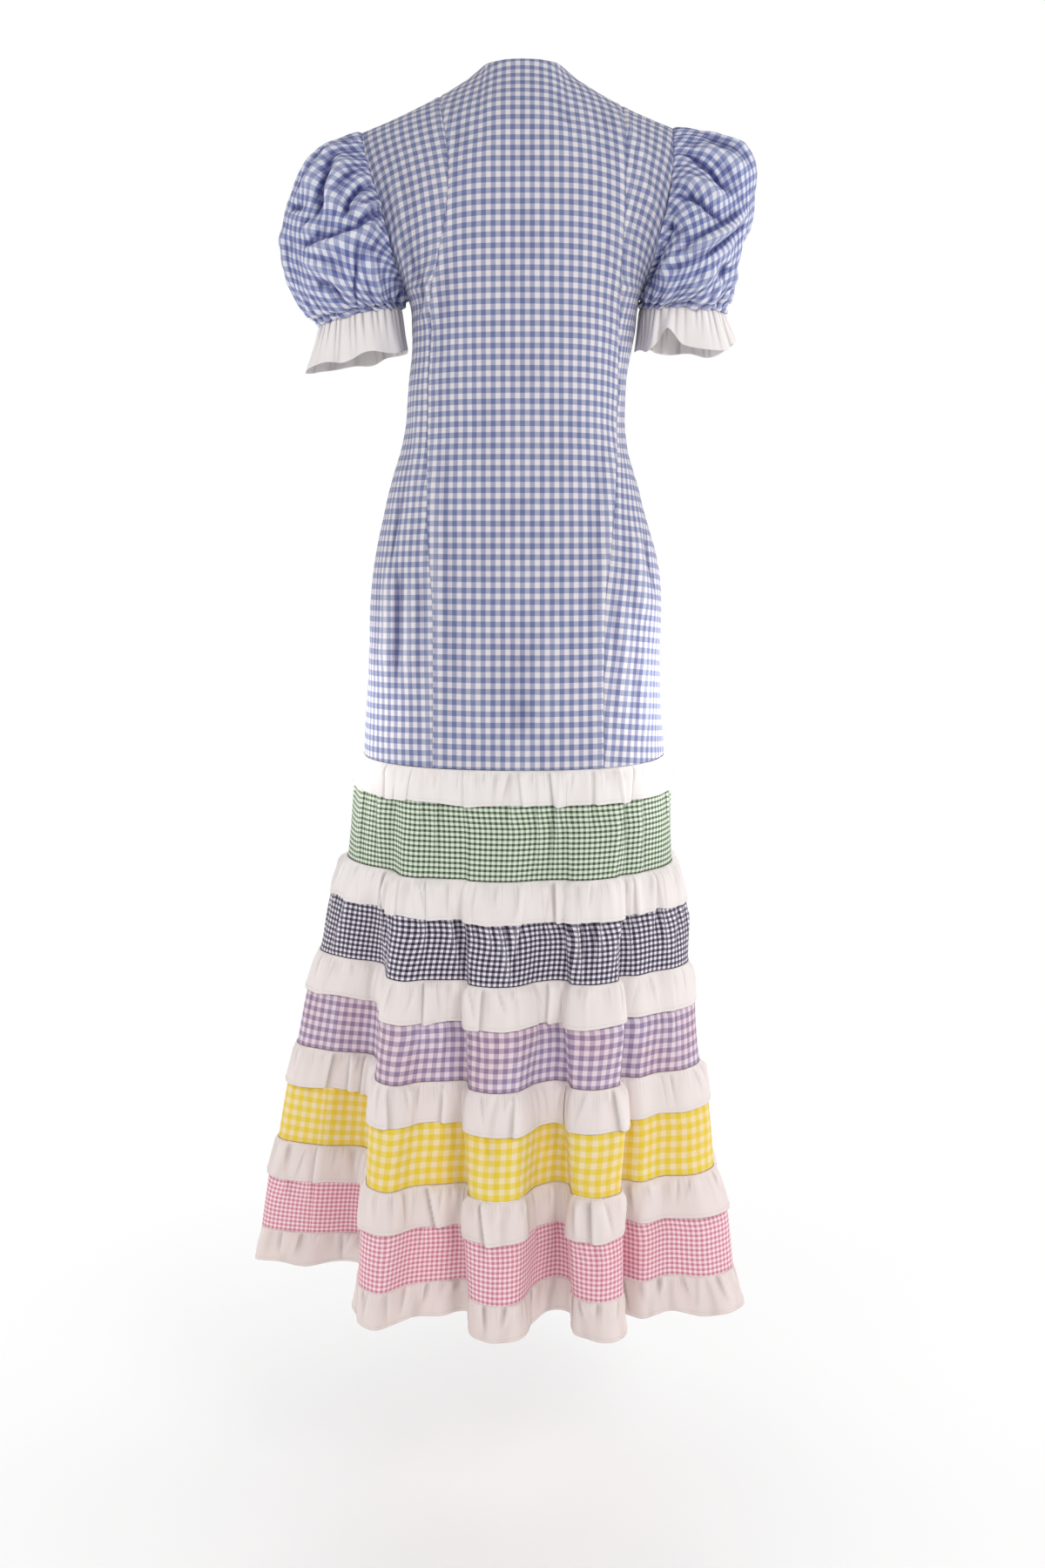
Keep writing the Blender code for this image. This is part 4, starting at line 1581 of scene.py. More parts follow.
@dataclass(frozen=True)
class PuffSleeve:
    """A short puff sleeve, gathered at its head and by an elastic above its ruffle."""

    cut: SleeveCut
    bodice: Bodice
    columns: int = 230
    rows: int = 58
    ruffle_columns: int = 300
    seat: float = 0.0001
    cuff_half: float = 0.045
    cuff_deep: float = 0.048
    head_under: tuple[float, float] = (0.005, -0.008)
    head_back: tuple[float, float] = (0.036, 0.018)
    head_deep: float = 0.044
    cuff_under: tuple[float, float] = (-0.001, 0.004)
    cuff_back: tuple[float, float] = (0.036, 0.014)
    cuff_puff: float = 0.066
    grain_turn: float = 46.0
    grain_ease: float = 1.25
    elastic_place: float = 0.01
    elastic_pinch: float = 0.0036
    broad_pitch: float = 0.042
    broad_depth: float = 0.0026
    crumple: float = 0.002
    crumple_size: float = 0.026
    fold_depth: float = 1.7
    head_gathers: Puckers = Puckers(0.016, 0.003, 0.026, 0)
    cuff_gathers: Puckers = Puckers(0.021, 0.0064, 0.032, 10)
    relief_rows: int = 2
    fullness: float = 1.06
    folded_area: float = 1.15
    ruffle_fullness: float = 1.4
    ruffle_waves: float = 0.0062
    ruffle_folds: float = 0.0026
    ruffle_ragged: float = 0.0026

    def name(self) -> str:
        """The wearer's side, as the nodes are named."""
        return self.cut.side.word()

    def turns(self, count: int) -> Array:
        """Angle of each column round the arm, from the underarm up the back."""
        return 2 * math.pi * np.arange(count) / count

    def down_shares(self) -> Array:
        """Rows as shares of the way from the armhole to the cuff."""
        ends = np.array([0.0, 0.008, 0.018, 0.03])
        middle = np.linspace(0.045, 0.955, self.rows)
        return np.concatenate([ends, middle, 1 - ends[::-1]])

    def pull(self, over: tuple, under: tuple, behind: tuple, deep: float, turns: Array) -> Array:
        """The pull on the cloth, blended round the arm.

        Args:
            over: how far the top is pulled out and up.
            under: the same for the underside.
            behind: the same for the back and the front.
            deep: how far the back and the front are pulled away from each other.
            turns: angle of each column.

        Returns:
            A move for each column.
        """
        top, back = -np.cos(turns), np.sin(turns)
        parts = []
        for axis in range(2):
            along = np.where(top > 0, over[axis], under[axis])
            parts.append(along * top * top + behind[axis] * back * back)
        return np.stack([self.cut.side.value * parts[0], deep * back, parts[1]], axis=-1)

    def form(self, count: int) -> Array:
        """The sleeve's plain form.

        Args:
            count: how many columns it has.

        Returns:
            Rings of points, from the armhole to the cuff.
        """
        cut = self.cut
        head, _ = even_ring(self.bodice.armhole(cut.side), count)
        head = head + np.array([cut.side.value * self.seat, 0.0, 0.0])
        turns = self.turns(count)
        top, back = -np.cos(turns), np.sin(turns)
        tilt = math.radians(cut.tilt)
        across = np.array([cut.side.value * math.cos(tilt), 0.0, -math.sin(tilt)])
        middle = np.array([cut.side.value * cut.cuff_x, 0.0, cut.cuff_z])
        cuff = middle + across * (self.cuff_half * top)[:, None]
        cuff[:, 1] += self.cuff_deep * back
        near_head = head + self.pull(cut.head, self.head_under, self.head_back, self.head_deep, turns)
        near_cuff = cuff + self.pull(cut.cuff, self.cuff_under, self.cuff_back, self.cuff_puff, turns)
        t = self.down_shares()[:, None, None]
        rings = head * (1 - t) ** 3 + near_head * (3 * t * (1 - t) ** 2)
        return rings + near_cuff * (3 * t * t * (1 - t)) + cuff * t ** 3

    def weave(self, grid: Array, around: Array, down: Array) -> Array:
        """Lay the weave on the sleeve, its grain straight over the top and turned under the arm.

        Near the head and the cuff the cloth keeps its width, and what the narrower ring leaves
        over vanishes in the valleys between the gathers.

        Args:
            grid: the sleeve's plain points, its first column again at the end.
            around: distance from the top of the arm to each column on the middle ring.
            down: distance from the head of each point.

        Returns:
            Across and up, in metres, for each point.
        """
        place = around / np.abs(around).max()
        turn = np.radians(self.grain_turn) * np.abs(place) ** self.grain_ease * np.sign(place)
        middle = int(np.argmin(np.abs(around)))
        own = -np.cumsum(steps_along(grid, 1), axis=1)
        own -= own[:, middle:middle + 1]
        total = float(np.ptp(around))
        spot = (around / total + 0.5) % 1.0
        loss = around[None, :] - own
        head, cuff = self.gathers()
        wide = around[None, :] + head.jumps(spot, total, down, loss)
        wide = wide + cuff.jumps(spot, total, down[-1:] - down, loss)
        steps = np.diff(wide, axis=1, prepend=wide[:, :1])
        sine, cosine = np.sin(turn)[None, :], np.cos(turn)[None, :]
        flat = (np.cumsum(part * steps, axis=1) for part in (cosine, sine))
        across, along = (part - part[:, middle:middle + 1] for part in flat)
        hang = down - down[down.shape[0] // 2]
        return paired(across - hang * sine, -(along + hang * cosine))

    def gathers(self) -> tuple[Puckers, Puckers]:
        """The puckers of the head and of the cuff."""
        both = (self.head_gathers, self.cuff_gathers)
        return tuple(replace(made, seed=made.seed + self.cut.seed) for made in both)

    def build(self, finish: Material, white: Material) -> tuple[list[Piece], Array]:
        """Make and dress the sleeve and its ruffle.

        Args:
            finish: the blue gingham.
            white: the ruffle's cotton.

        Returns:
            The sleeve and the ruffle, and the line of stitches along the elastic.
        """
        grid = self.form(self.columns)
        closed = closed_round(grid)
        down = np.cumsum(steps_along(closed, 0), axis=0)
        gone = gone_along(closed[closed.shape[0] // 2])
        around = gone[-1] / 2 - gone
        weave = self.weave(closed, around, down)
        lift = self.lifts(closed, around, down)[:, :-1]
        normals = grid_normals(grid, True, grid.mean(axis=(0, 1)))
        cloth = grid + normals * lift[..., None]
        relief = relief_of(lift, True, self.relief_rows)
        sleeve = ring_piece(f"sleeve_{self.name()}", cloth, grid, weave, relief, finish)
        width, length = float(gone[-1]) * self.fullness, float(down[-1].max())
        area = cloth_area(closed_round(cloth), None) / self.folded_area
        min(area, width * length)
        return [sleeve, self.ruffle(white)], cloth[-5] + normals[-5] * STITCH_OUT

    def lifts(self, grid: Array, around: Array, down: Array) -> Array:
        """How far gathers, the elastic, folds and crumples move the sleeve's cloth.

        Args:
            grid: the plain points, the first column again at the end.
            around: distance from the top of the arm to each column on the middle ring.
            down: distance from the head of each point.

        Returns:
            The move outwards in metres.
        """
        total = float(np.ptp(around))
        place = ((around / total) + 0.5)[None, :] % 1.0
        left = down[-1:] - down
        top = np.cos(math.pi * around / (total / 2))[None, :]
        gathered = 0.25 + 0.75 * smooth_step((top + 0.75) / 0.7)
        at_head, at_cuff = self.gathers()
        head, cuff = at_head.lift(place[0], total, down), at_cuff.lift(place[0], total, left)
        share = down / down[-1:]
        broad_cells = round(total / self.broad_pitch)
        sway = 0.35 / broad_cells * np.sin(3 * math.pi * share + 1.0)
        broad = round_noise((place + sway) % 1.0, broad_cells, self.cut.seed + 20)
        lift = head * gathered * smooth_step(down / 0.004) + cuff * smooth_step(left / 0.003)
        lift = lift + self.broad_depth * broad * np.sin(math.pi * share)
        lift = lift - self.elastic_pinch * np.exp(-((left - self.elastic_place) / 0.0035) ** 2)
        behind = smooth_step((grid[..., 1] - 0.004) / 0.012)
        for crease in self.cut.back:
            lift = lift + self.fold_depth * crease.lift(grid[..., 0], grid[..., 2]) * behind
        for crease in self.cut.rim:
            lift = lift + crease.lift(grid[..., 0], grid[..., 2])
        across = np.broadcast_to(around[None, :], down.shape)
        for crease in self.cut.rest:
            lift = lift + crease.lift(across, down)
        ends = smooth_step(down / 0.006) * smooth_step(left / 0.004)
        crumple = cloud_noise(grid, self.crumple_size, self.cut.seed)
        crumple = crumple + 0.4 * cloud_noise(grid, self.crumple_size / 2.6, self.cut.seed + 1)
        lift = lift * smooth_step(down / 0.003 + 0.15) + self.crumple * crumple * ends
        return lift

    def ruffle(self, white: Material) -> Piece:
        """Make the gathered ruffle that hangs from the cuff.

        Args:
            white: the ruffle's cotton.

        Returns:
            The ruffle.
        """
        cut = self.cut
        cuff, length = even_ring(self.form(self.columns)[-1], self.ruffle_columns)
        tilt = math.radians(cut.tilt)
        down = np.array([-cut.side.value * math.sin(tilt) * 0.3, 0.0, -1.0])
        down /= np.linalg.norm(down)
        outward = cuff - cuff.mean(axis=0)
        outward[:, 2] = 0.0
        outward /= np.linalg.norm(outward, axis=1, keepdims=True)
        free = 0.3 + 0.7 * (1 + cut.side.value * outward[:, 0]) / 2
        place = np.arange(self.ruffle_columns) / self.ruffle_columns
        rows = np.concatenate([[0.0, 0.03, 0.08, 0.15, 0.24], np.linspace(0.35, 0.93, 7), [0.965, 1.0]])
        share = rows[:, None]
        drop = share * cut.fall
        waves = round_noise(place, 13, cut.seed + 40) * self.ruffle_waves * share ** 1.2
        small = Puckers(0.0085, 0.0034, 0.03, cut.seed + 41).lift(place, length, drop)
        folds = self.ruffle_folds * round_noise(place, 31, cut.seed + 42) * share
        moved = (small + folds) * smooth_step(drop / 0.002) + waves * (0.55 + 0.45 * free[None, :])
        spread = cut.flare * share * free[None, :] + moved
        grid = cuff[None] + down * drop[..., None] + outward[None] * spread[..., None]
        ragged = self.ruffle_ragged * round_noise(place, 17, cut.seed + 43)
        for x, width, rise in cut.arches:
            ragged = ragged + rise * np.exp(-((cuff[:, 0] - x) / width) ** 2) * (cuff[:, 1] > 0)
        ragged = ragged + cut.outer_rise * np.clip(cut.side.value * outward[:, 0], 0.0, 1.0) ** 6
        grid[..., 2] += ragged * share
        wide = length * self.ruffle_fullness
        base = np.arange(self.ruffle_columns + 1) * wide / self.ruffle_columns
        weave = paired(base[None, :], share * cut.fall)
        node, relief = f"sleeve_ruffle_{self.name()}", relief_of(moved, True)
        piece = ring_piece(node, grid, grid, weave, relief, white)
        return piece


# Skirt


@dataclass(frozen=True)
class Fold:
    """A fold of the skirt: its turn in degrees at the blue hem, and its place at the skirt's hem."""

    turn: float
    x: float
    y: float


@dataclass(frozen=True)
class Spread:
    """How far the skirt has spread on its way to the hem at one height."""

    height: float
    left: float
    right: float


SKIRT_FOLDS = tuple(Fold(turn, x / 1000, y / 1000) for turn, x, y in (
    (64, 245, 4), (46, 184, 6), (40, 176.5, 130), (35, 152, 153),
    (29, 122, 130), (22, 85, 120), (17, 57, 116), (15, 54.5, 160),
    (9, 31, 180), (2, 4, 172), (-3, -13, 127), (-9, -36, 108),
    (-14, -50.5, 118), (-16, -54.5, 158), (-25, -80, 174), (-35, -104, 158),
    (-38, -103, 112), (-46, -129, 126), (-55, -157, 111), (-67, -205, 118),
    (-80, -236, 95), (-92, -226, 34), (-104, -235, -34), (-117, -190, -82),
    (-130, -178, -146), (-143, -120, -138), (-156, -80, -192), (-170, -28, -164),
    (-184, 28, -202), (-197, 78, -166), (-210, 128, -194), (-222, 156, -142),
    (-235, 214, -144), (-247, 226, -90), (-260, 284, -62), (-274, 304, -12),
))
SKIRT_SPREAD = (
    Spread(-0.765, 0.00, 0.00),
    Spread(-0.881, 0.15, 0.11),
    Spread(-0.988, 0.4, 0.32),
    Spread(-1.095, 0.61, 0.46),
    Spread(-1.204, 0.78, 0.64),
    Spread(-1.306, 0.93, 0.88),
    Spread(-1.344, 1.00, 1.00),
)


@dataclass(frozen=True)
class SkirtForm:
    """The skirt as straight lines from the blue hem to a folded hem ring."""

    torso: Torso = TORSO
    folds: tuple[Fold, ...] = SKIRT_FOLDS
    half_width: float = 0.2
    fine: int = 60

    def columns(self, count: int) -> tuple[Array, Array]:
        """Columns at equal steps round the hem.

        Args:
            count: how many columns.

        Returns:
            Their turns in degrees at the blue hem, and their places at the skirt's hem.
        """
        places = np.array([(fold.x, fold.y) for fold in self.folds])
        turns = np.array([fold.turn for fold in self.folds], dtype=float)
        number = len(places)
        after, before = np.roll(places, -1, axis=0), np.roll(places, 1, axis=0)
        lengths = np.linalg.norm(after - places, axis=1)
        last = np.roll(lengths, 1)
        slopes = (after - before) / (lengths + last)[:, None]
        ends = np.append(turns[1:], turns[0] - 360)
        t = np.tile(np.arange(self.fine) / self.fine, number)
        index = np.repeat(np.arange(number), self.fine)
        nxt = (index + 1) % number
        ease = smooth_step(t)[:, None]
        dense = places[index] * (1 - ease) + places[nxt] * ease
        dense = dense + slopes[index] * (lengths[index] * t * (1 - t) ** 2)[:, None]
        dense = dense + slopes[nxt] * (lengths[index] * t * t * (t - 1))[:, None]
        turn = turns[index] + (ends[index] - turns[index]) * t
        dense = np.concatenate([dense, turn[:, None]], axis=1)
        closed = np.concatenate([dense, dense[:1] - [0.0, 0.0, 360.0]])
        gone = gone_along(closed[:, :2])
        wanted = gone[-1] * np.arange(count) / count
        x, y, turned = (np.interp(wanted, gone, column) for column in closed.T)
        return turned, paired(x, y)

    def spread(self, height: Array, x: Array) -> Array:
        """How far the skirt has spread on its way to the hem.

        Args:
            height: heights to look at.
            x: where the columns reach the hem.

        Returns:
            Shares of the way, from 0 at the blue hem to 1.
        """
        rows = sorted(SKIRT_SPREAD, key=lambda row: row.height)
        keys = [row.height for row in rows]
        leftness = np.clip(0.5 + 0.5 * x / self.half_width, 0.0, 1.0)
        left = np.interp(height, keys, [row.left for row in rows])
        right = np.interp(height, keys, [row.right for row in rows])
        return right + (left - right) * leftness

    def grid(self, heights: Array, columns: tuple[Array, Array]) -> Array:
        """Points of the plain skirt.

        Args:
            heights: the height of each row.
            columns: the columns' turns and places at the hem.

        Returns:
            Rows and columns of points.
        """
        turns, places = columns
        start = self.torso.ring_point(turns, self.torso.blue_hem)[:, :2]
        share = self.spread(heights[:, None], places[None, :, 0])[..., None]
        flat = start[None] * (1 - share) + places[None] * share
        tall = np.broadcast_to(heights[:, None, None], (*flat.shape[:2], 1))
        return np.concatenate([flat, tall], axis=-1)

    def outward(self, grid: Array) -> Array:
        """The level direction out of the skirt at each point."""
        along = np.roll(grid, -1, axis=1) - np.roll(grid, 1, axis=1)
        out = np.stack([along[..., 1], -along[..., 0], np.zeros(along.shape[:2])], axis=-1)
        return out / np.linalg.norm(out, axis=-1, keepdims=True)


@dataclass(frozen=True)
class Tucks:
    """Small folds pressed one over the next, which open on their way down and hide some cloth."""

    pitch: float
    depth: float
    hidden: float
    reach: float
    lean: float
    seed: int
    width: float = 0.0016
    tail: float = 8.0

    def lay(self, gone: Array, length: float, down: Array) -> tuple[Array, Array]:
        """Lay the tucks round a ring.

        Args:
            gone: distance round the ring of each column.
            length: the ring's length.
            down: distance from the seam of each row.

        Returns:
            How far each point moves out, and how far the tucks shift the weave there.
        """
        rng = np.random.default_rng(self.seed)
        count = max(round(length / self.pitch), 1)
        places = (np.arange(count) + rng.uniform(0.1, 0.9, count)) * length / count
        lift = np.zeros(np.broadcast_shapes(gone.shape, down.shape))
        shift = lift.copy()
        for place in places:
            reach = self.reach * rng.uniform(0.35, 1.25)
            lean = self.lean * rng.uniform(-1.0, 1.0)
            way = rng.choice([-1.0, 1.0])
            strength = rng.uniform(0.45, 1.0)
            passed = gone - place - lean * down
            distance = passed - length * np.round(passed / length)
            fade = smooth_step(1.6 * (1 - down / reach)) * strength
            steep = np.exp(-(distance / self.width) ** 2)
            slow = np.exp(-(distance / (self.width * self.tail)) ** 2)
            lift = lift + self.depth * fade * np.where(distance * way > 0, steep, slow)
            jump = smooth_step(passed / (2 * self.width) + 0.5)
            shift = shift + self.hidden * fade * (jump - gone / length)
        return lift, shift


@dataclass(frozen=True)
class Wave:
    """Slow swings round a ring."""

    pitch: float
    height: float
    seed: int

    def lift(self, place: Array, length: float) -> Array:
        """How far the wave moves each place round a ring of some length."""
        return round_noise(place, round(length / self.pitch), self.seed) * self.height


PRESS_PAST = 0.02
PRESS_WIDTH = 0.0014
PRESS_STRENGTH = 1.7
PRESS_TAIL = 8.0


@dataclass(frozen=True)
class Tier:
    """A band of checked cloth and the ruffle that is sewn into the seam above it.

    Each pressed fold of the ruffle is where it leaves the seam, where it reaches the free edge,
    and how deep it is, in millimetres.
    """

    band: str
    seam: float
    foot: float
    ruffle: str
    ruffle_foot: float
    finish: Gingham
    gathers: Gathers
    billow: float
    folds: float
    tucks: Tucks
    seed: int
    pressed: tuple[tuple[float, float, float], ...]

    def creases(self) -> list[Crease]:
        """The knife-pressed folds of the ruffle, from its seam to its free edge."""
        high, low = self.seam + PRESS_PAST, self.ruffle_foot - PRESS_PAST
        made = []
        for top, foot, depth in self.pressed:
            line = ((top / 1000, high), (foot / 1000, low))
            deep = PRESS_STRENGTH * (depth / 1000)
            made.append(Crease(line, PRESS_WIDTH, deep, CreaseShape.STEP, PRESS_TAIL))
        return made


TIERS = (
    Tier("band_green", -0.765, -0.881, "ruffle_1", -0.801, GREEN, Gathers(0.011, 0.0016, 0.022, 31),
         0.002, 0.0022, Tucks(0.03, 0.0034, 0.0044, 0.14, 0.08, 131), 51, (
             (141, 143, 1.6), (115, 123, -1.4), (60, 58, 1.2), (4, -3, 1.2),
             (-28, -37, 2), (-77, -77, 1.2), (-97, -104, 1.6), (-120, -111, -1.4))),
    Tier("band_navy", -0.881, -0.988, "ruffle_2", -0.923, NAVY, Gathers(0.0095, 0.0038, 0.04, 32),
         0.0032, 0.003, Tucks(0.02, 0.0044, 0.005, 0.125, 0.22, 132), 52, (
             (140, 150, 1.6), (127, 133, -1.4), (100, 100, 1.2), (-36, -36, 2),
             (-117, -123, 1.6), (-138, -138, -1.2))),
    Tier("band_lilac", -0.988, -1.095, "ruffle_3", -1.031, LILAC, Gathers(0.0115, 0.002, 0.03, 33),
         0.0026, 0.0028, Tucks(0.034, 0.003, 0.0044, 0.105, 0.14, 133), 53, (
             (101, 106, 1.6), (54, 60, 1.4), (40, 43, -1.2), (-31, -23, 1.8))),
    Tier("band_yellow", -1.095, -1.204, "ruffle_4", -1.138, YELLOW, Gathers(0.0115, 0.002, 0.03, 34),
         0.0026, 0.0028, Tucks(0.042, 0.0024, 0.004, 0.085, 0.16, 134), 54, (
             (226, 238, 1.6), (205, 222, -1.4), (186, 194, 1.4), (167, 177, 1.6),
             (141, 139, -1.2), (80, 86, 1.4), (7, 11, 1.4), (-94, -102, 1.8))),
    Tier("band_pink", -1.204, -1.306, "ruffle_5", -1.245, PINK, Gathers(0.0105, 0.0022, 0.03, 35),
         0.0028, 0.003, Tucks(0.036, 0.0024, 0.0036, 0.085, 0.16, 135), 55, (
             (230, 242, 1.6), (103, 87, 2), (43, 32, 1.8), (-1, -4, -1.2),
             (-73, -75, 1.4))),
)


@dataclass(frozen=True)
class RuffleLook:
    """How one white ruffle is gathered, tucked and waved, and how ragged its edge is."""

    first_rows: tuple[float, ...]
    gathers: Gathers
    tucks: Tucks
    waves: Wave
    small: Wave
    ragged: Wave
    start: float
    tucked_drop: float


HEM_LOOK = RuffleLook(
    (0.0003, 0.0018, 0.0045, 0.0085), Gathers(0.009, 0.0018, 0.024, 91),
    Tucks(0.022, 0.0022, 0.0, 0.036, 0.3, 95), Wave(0.03, 0.0032, 92), Wave(0.014, 0.0016, 93),
    Wave(0.036, 0.0022, 94), 0.003, 0.4)


def tier_look(seed: int) -> RuffleLook:
    """The look of the ruffle over a band."""
    return RuffleLook(
        (0.0002, 0.002, 0.0046, 0.0085), Gathers(0.0085, 0.0013, 0.026, seed + 60),
        Tucks(0.026, 0.0018, 0.0, 0.038, 0.34, seed + 63, 0.0012), Wave(0.055, 0.0013, seed + 61),
        Wave(0.021, 0.0007, seed + 62), Wave(0.03, 0.0013, seed + 64), 0.008, 0.3)


class Hanging:
    """One ruffle of the skirt in the making: its plain points and the small forms laid on them."""

    def __init__(self, form: SkirtForm, ring: tuple[Array, float], high: float, low: float,
                 columns: tuple[Array, Array], look: RuffleLook) -> None:
        """Lay the ruffle out.

        Args:
            form: the skirt's form.
            ring: distance round of each column and the first again, and the ring's length.
            high: height of its seam.
            low: height of its free edge.
            columns: the form's columns.
            look: how it is gathered and waved.
        """
        self.deep = high - low
        middle = np.linspace(0.014, self.deep - 0.0035, 5)
        down = np.concatenate([look.first_rows, middle, [self.deep - 0.0014, self.deep]])
        self.heights = (high - down)[:, None]
        self.down = down[:, None]
        self.share = self.down / self.deep
        self.grid = form.grid(high - down, columns)
        self.out = form.outward(self.grid)
        self.gone, self.length = ring
        self.around = self.gone[None, :-1]
        place = self.around / self.length
        tucked, _ = look.tucks.lay(self.around, self.length, self.down)
        self.fine = look.gathers.lift(place, self.length, self.down) + tucked
        self.begun = smooth_step(self.down / look.start)
        self.waves = look.waves.lift(place, self.length) + look.small.lift(place, self.length)
        self.ragged = look.ragged.lift(place, self.length)
        self.tucked = look.tucked_drop * tucked

    def sew(self, node: str, lift: Array, drop: Array, relief: Array, fullness: float,
            finish: Material) -> tuple[Piece, Array]:
        """Make the ruffle's piece.

        Args:
            node: the CAD node that it stands for.
            lift: how far each point moves out.
            drop: how far the free edge moves up there.
            relief: the part of the lift that shows as folds.
            fullness: how much longer the flat cloth is than its ring.
            finish: the ruffles' cotton.

        Returns:
            The piece, and the line of its hem stitches.
        """
        cloth = self.grid + self.out * lift[..., None]
        cloth[..., 2] += drop * self.share
        weave = paired(self.gone[None, :] * fullness, self.down)
        piece = ring_piece(node, cloth, self.grid, weave, relief_of(relief, True), finish)
        self.length * fullness
        return piece, cloth[-3] + self.out[-3] * STITCH_OUT


@dataclass(frozen=True)
class Skirt:
    """Five tiers, a white ruffle over each seam, and one on the hem."""

    form: SkirtForm = SkirtForm()
    tiers: tuple[Tier, ...] = TIERS
    hem_seam: float = -1.306
    hem: float = -1.344
    band_columns: int = 860
    ruffle_columns: int = 1100
    seat: float = 0.0007
    stand: float = 0.0022
    reference: float = 0.02
    fullness: float = 1.3
    edge_rows: tuple[float, ...] = (0.0006, 0.0018, 0.004, 0.0078)
    seam_dip: float = 0.0004
    broad_pitch: float = 0.045
    broad_share: float = 0.75
    narrow_share: float = 0.35
    drift: float = 0.4
    foot_gathers: Gathers = Gathers(0.016, 0.0008, 0.018, 3)
    pressed_from: float = -62.0
    pressed_start: float = 0.12
    pressed_drop: float = 0.7
    swell: float = 0.0006
    least: float = 0.8

    def band_offset(self, tier: Tier, gone: Array, length: float, down: Array) -> tuple[Array, Array]:
        """How far a band's cloth stands off its plain form.

        Args:
            tier: the band's tier.
            gone: distance of each column round the tier's reference ring.
            length: that ring's length.
            down: distance of each row below the seam.

        Returns:
            The move outwards, and how far the weave is shifted.
        """
        place = gone / length
        deep = tier.seam - tier.foot
        share = np.clip(down / deep, 0.0, 1.0)
        left = deep - down
        cells = round(length / self.broad_pitch)
        drift = round_noise(place, cells // 3, tier.seed + 1) * self.drift / cells
        broad = round_noise((place + drift * share) % 1.0, cells, tier.seed) * np.sin(math.pi * share ** 0.8)
        narrow = round_noise((place + drift * share) % 1.0, cells * 2, tier.seed + 2)
        narrow = narrow * np.sin(math.pi * share) ** 0.7
        folds = self.broad_share * broad + self.narrow_share * narrow
        lift = tier.billow * np.sin(math.pi * share ** 0.7) + tier.folds * folds
        tucked, hidden = tier.tucks.lay(gone, length, down)
        lift = lift + tucked * smooth_step(left / 0.006)
        lift = lift + tier.gathers.lift(place, length, down)
        lift = lift * smooth_step(down / 0.006)
        lower = replace(self.foot_gathers, seed=self.foot_gathers.seed + tier.seed)
        lift = lift + lower.lift(place, length, left) * smooth_step(left / 0.003)
        edge = np.exp(-(left / 0.0018) ** 2) * smooth_step(left / 0.0004)
        return lift - self.seam_dip * 0.5 * edge, hidden

    def rows(self, high: float, low: float, count: int) -> Array:
        """Heights of a piece's rows, closer together at its seam and foot."""
        deep = high - low
        middle = np.linspace(0.013, deep - 0.006, count)
        down = np.concatenate([self.edge_rows, middle, [deep - 0.0028, deep - 0.0012, deep]])
        return high - down

    def gone_round(self, height: float, columns: tuple[Array, Array]) -> tuple[Array, float]:
        """Distance round the plain skirt at one height to each column and back to the first."""
        gone = gone_along(closed_round(self.form.grid(np.array([height]), columns))[0])
        return gone, float(gone[-1])

    def band(self, tier: Tier, finish: Material) -> Piece:
        """Make one band of checked cloth.

        Args:
            tier: the band's tier.
            finish: its gingham.

        Returns:
            The band.
        """
        columns = self.form.columns(self.band_columns)
        heights = self.rows(tier.seam, tier.foot, 11)
        grid = self.form.grid(heights, columns)
        gone, length = self.gone_round(tier.seam - self.reference, columns)
        down = tier.seam - heights[:, None]
        lift, hidden = self.band_offset(tier, gone[None, :-1], length, down)
        cloth = grid + self.form.outward(grid) * lift[..., None]
        middle, around = self.gone_round((tier.seam + tier.foot) / 2, columns)
        weave = paired(middle[None, :] + closed_round(hidden), -down)
        piece = ring_piece(tier.band, cloth, grid, weave, relief_of(lift, True), finish)
        around * self.fullness
        tier.seam - tier.foot
        return piece

    def hanging(self, high: float, low: float, look: RuffleLook) -> Hanging:
        """Lay out a ruffle between two heights."""
        columns = self.form.columns(self.ruffle_columns)
        ring = self.gone_round(high - self.reference, columns)
        return Hanging(self.form, ring, high, low, columns, look)

    def ruffle(self, tier: Tier, finish: Material) -> tuple[Piece, Array]:
        """Make the ruffle that lies over the top of one band.

        Args:
            tier: the band's tier.
            finish: the ruffles' cotton.

        Returns:
            The ruffle, and the line of its hem stitches.
        """
        made = self.hanging(tier.seam, tier.ruffle_foot, tier_look(tier.seed))
        share = made.share
        under = np.maximum(self.band_offset(tier, made.around, made.length, made.down)[0], 0.0)
        across, upright = np.broadcast_arrays(made.grid[..., 0], made.heights)
        turns, _ = self.form.columns(self.ruffle_columns)
        pressed = sum(crease.lift(across, upright) for crease in tier.creases())
        pressed = pressed * (turns > self.pressed_from)
        own = (made.fine + self.swell) * made.begun + pressed * smooth_step(share / self.pressed_start)
        own = own + made.waves * share ** 1.2
        stand = self.seat + (self.stand - self.seat) * share ** 0.7
        lift = under + np.maximum(stand + own, self.seat * self.least)
        drop = made.ragged - self.pressed_drop * pressed - made.tucked
        return made.sew(tier.ruffle, lift, drop, own, self.fullness, finish)

    def hem_ruffle(self, finish: Material) -> tuple[Piece, Array]:
        """Make the ruffle that hangs below the last band, and the line of its hem stitches."""
        made = self.hanging(self.hem_seam, self.hem, HEM_LOOK)
        lift = made.fine * made.begun + made.waves * made.share
        return made.sew("ruffle_6", lift, made.ragged - made.tucked, lift, self.fullness, finish)

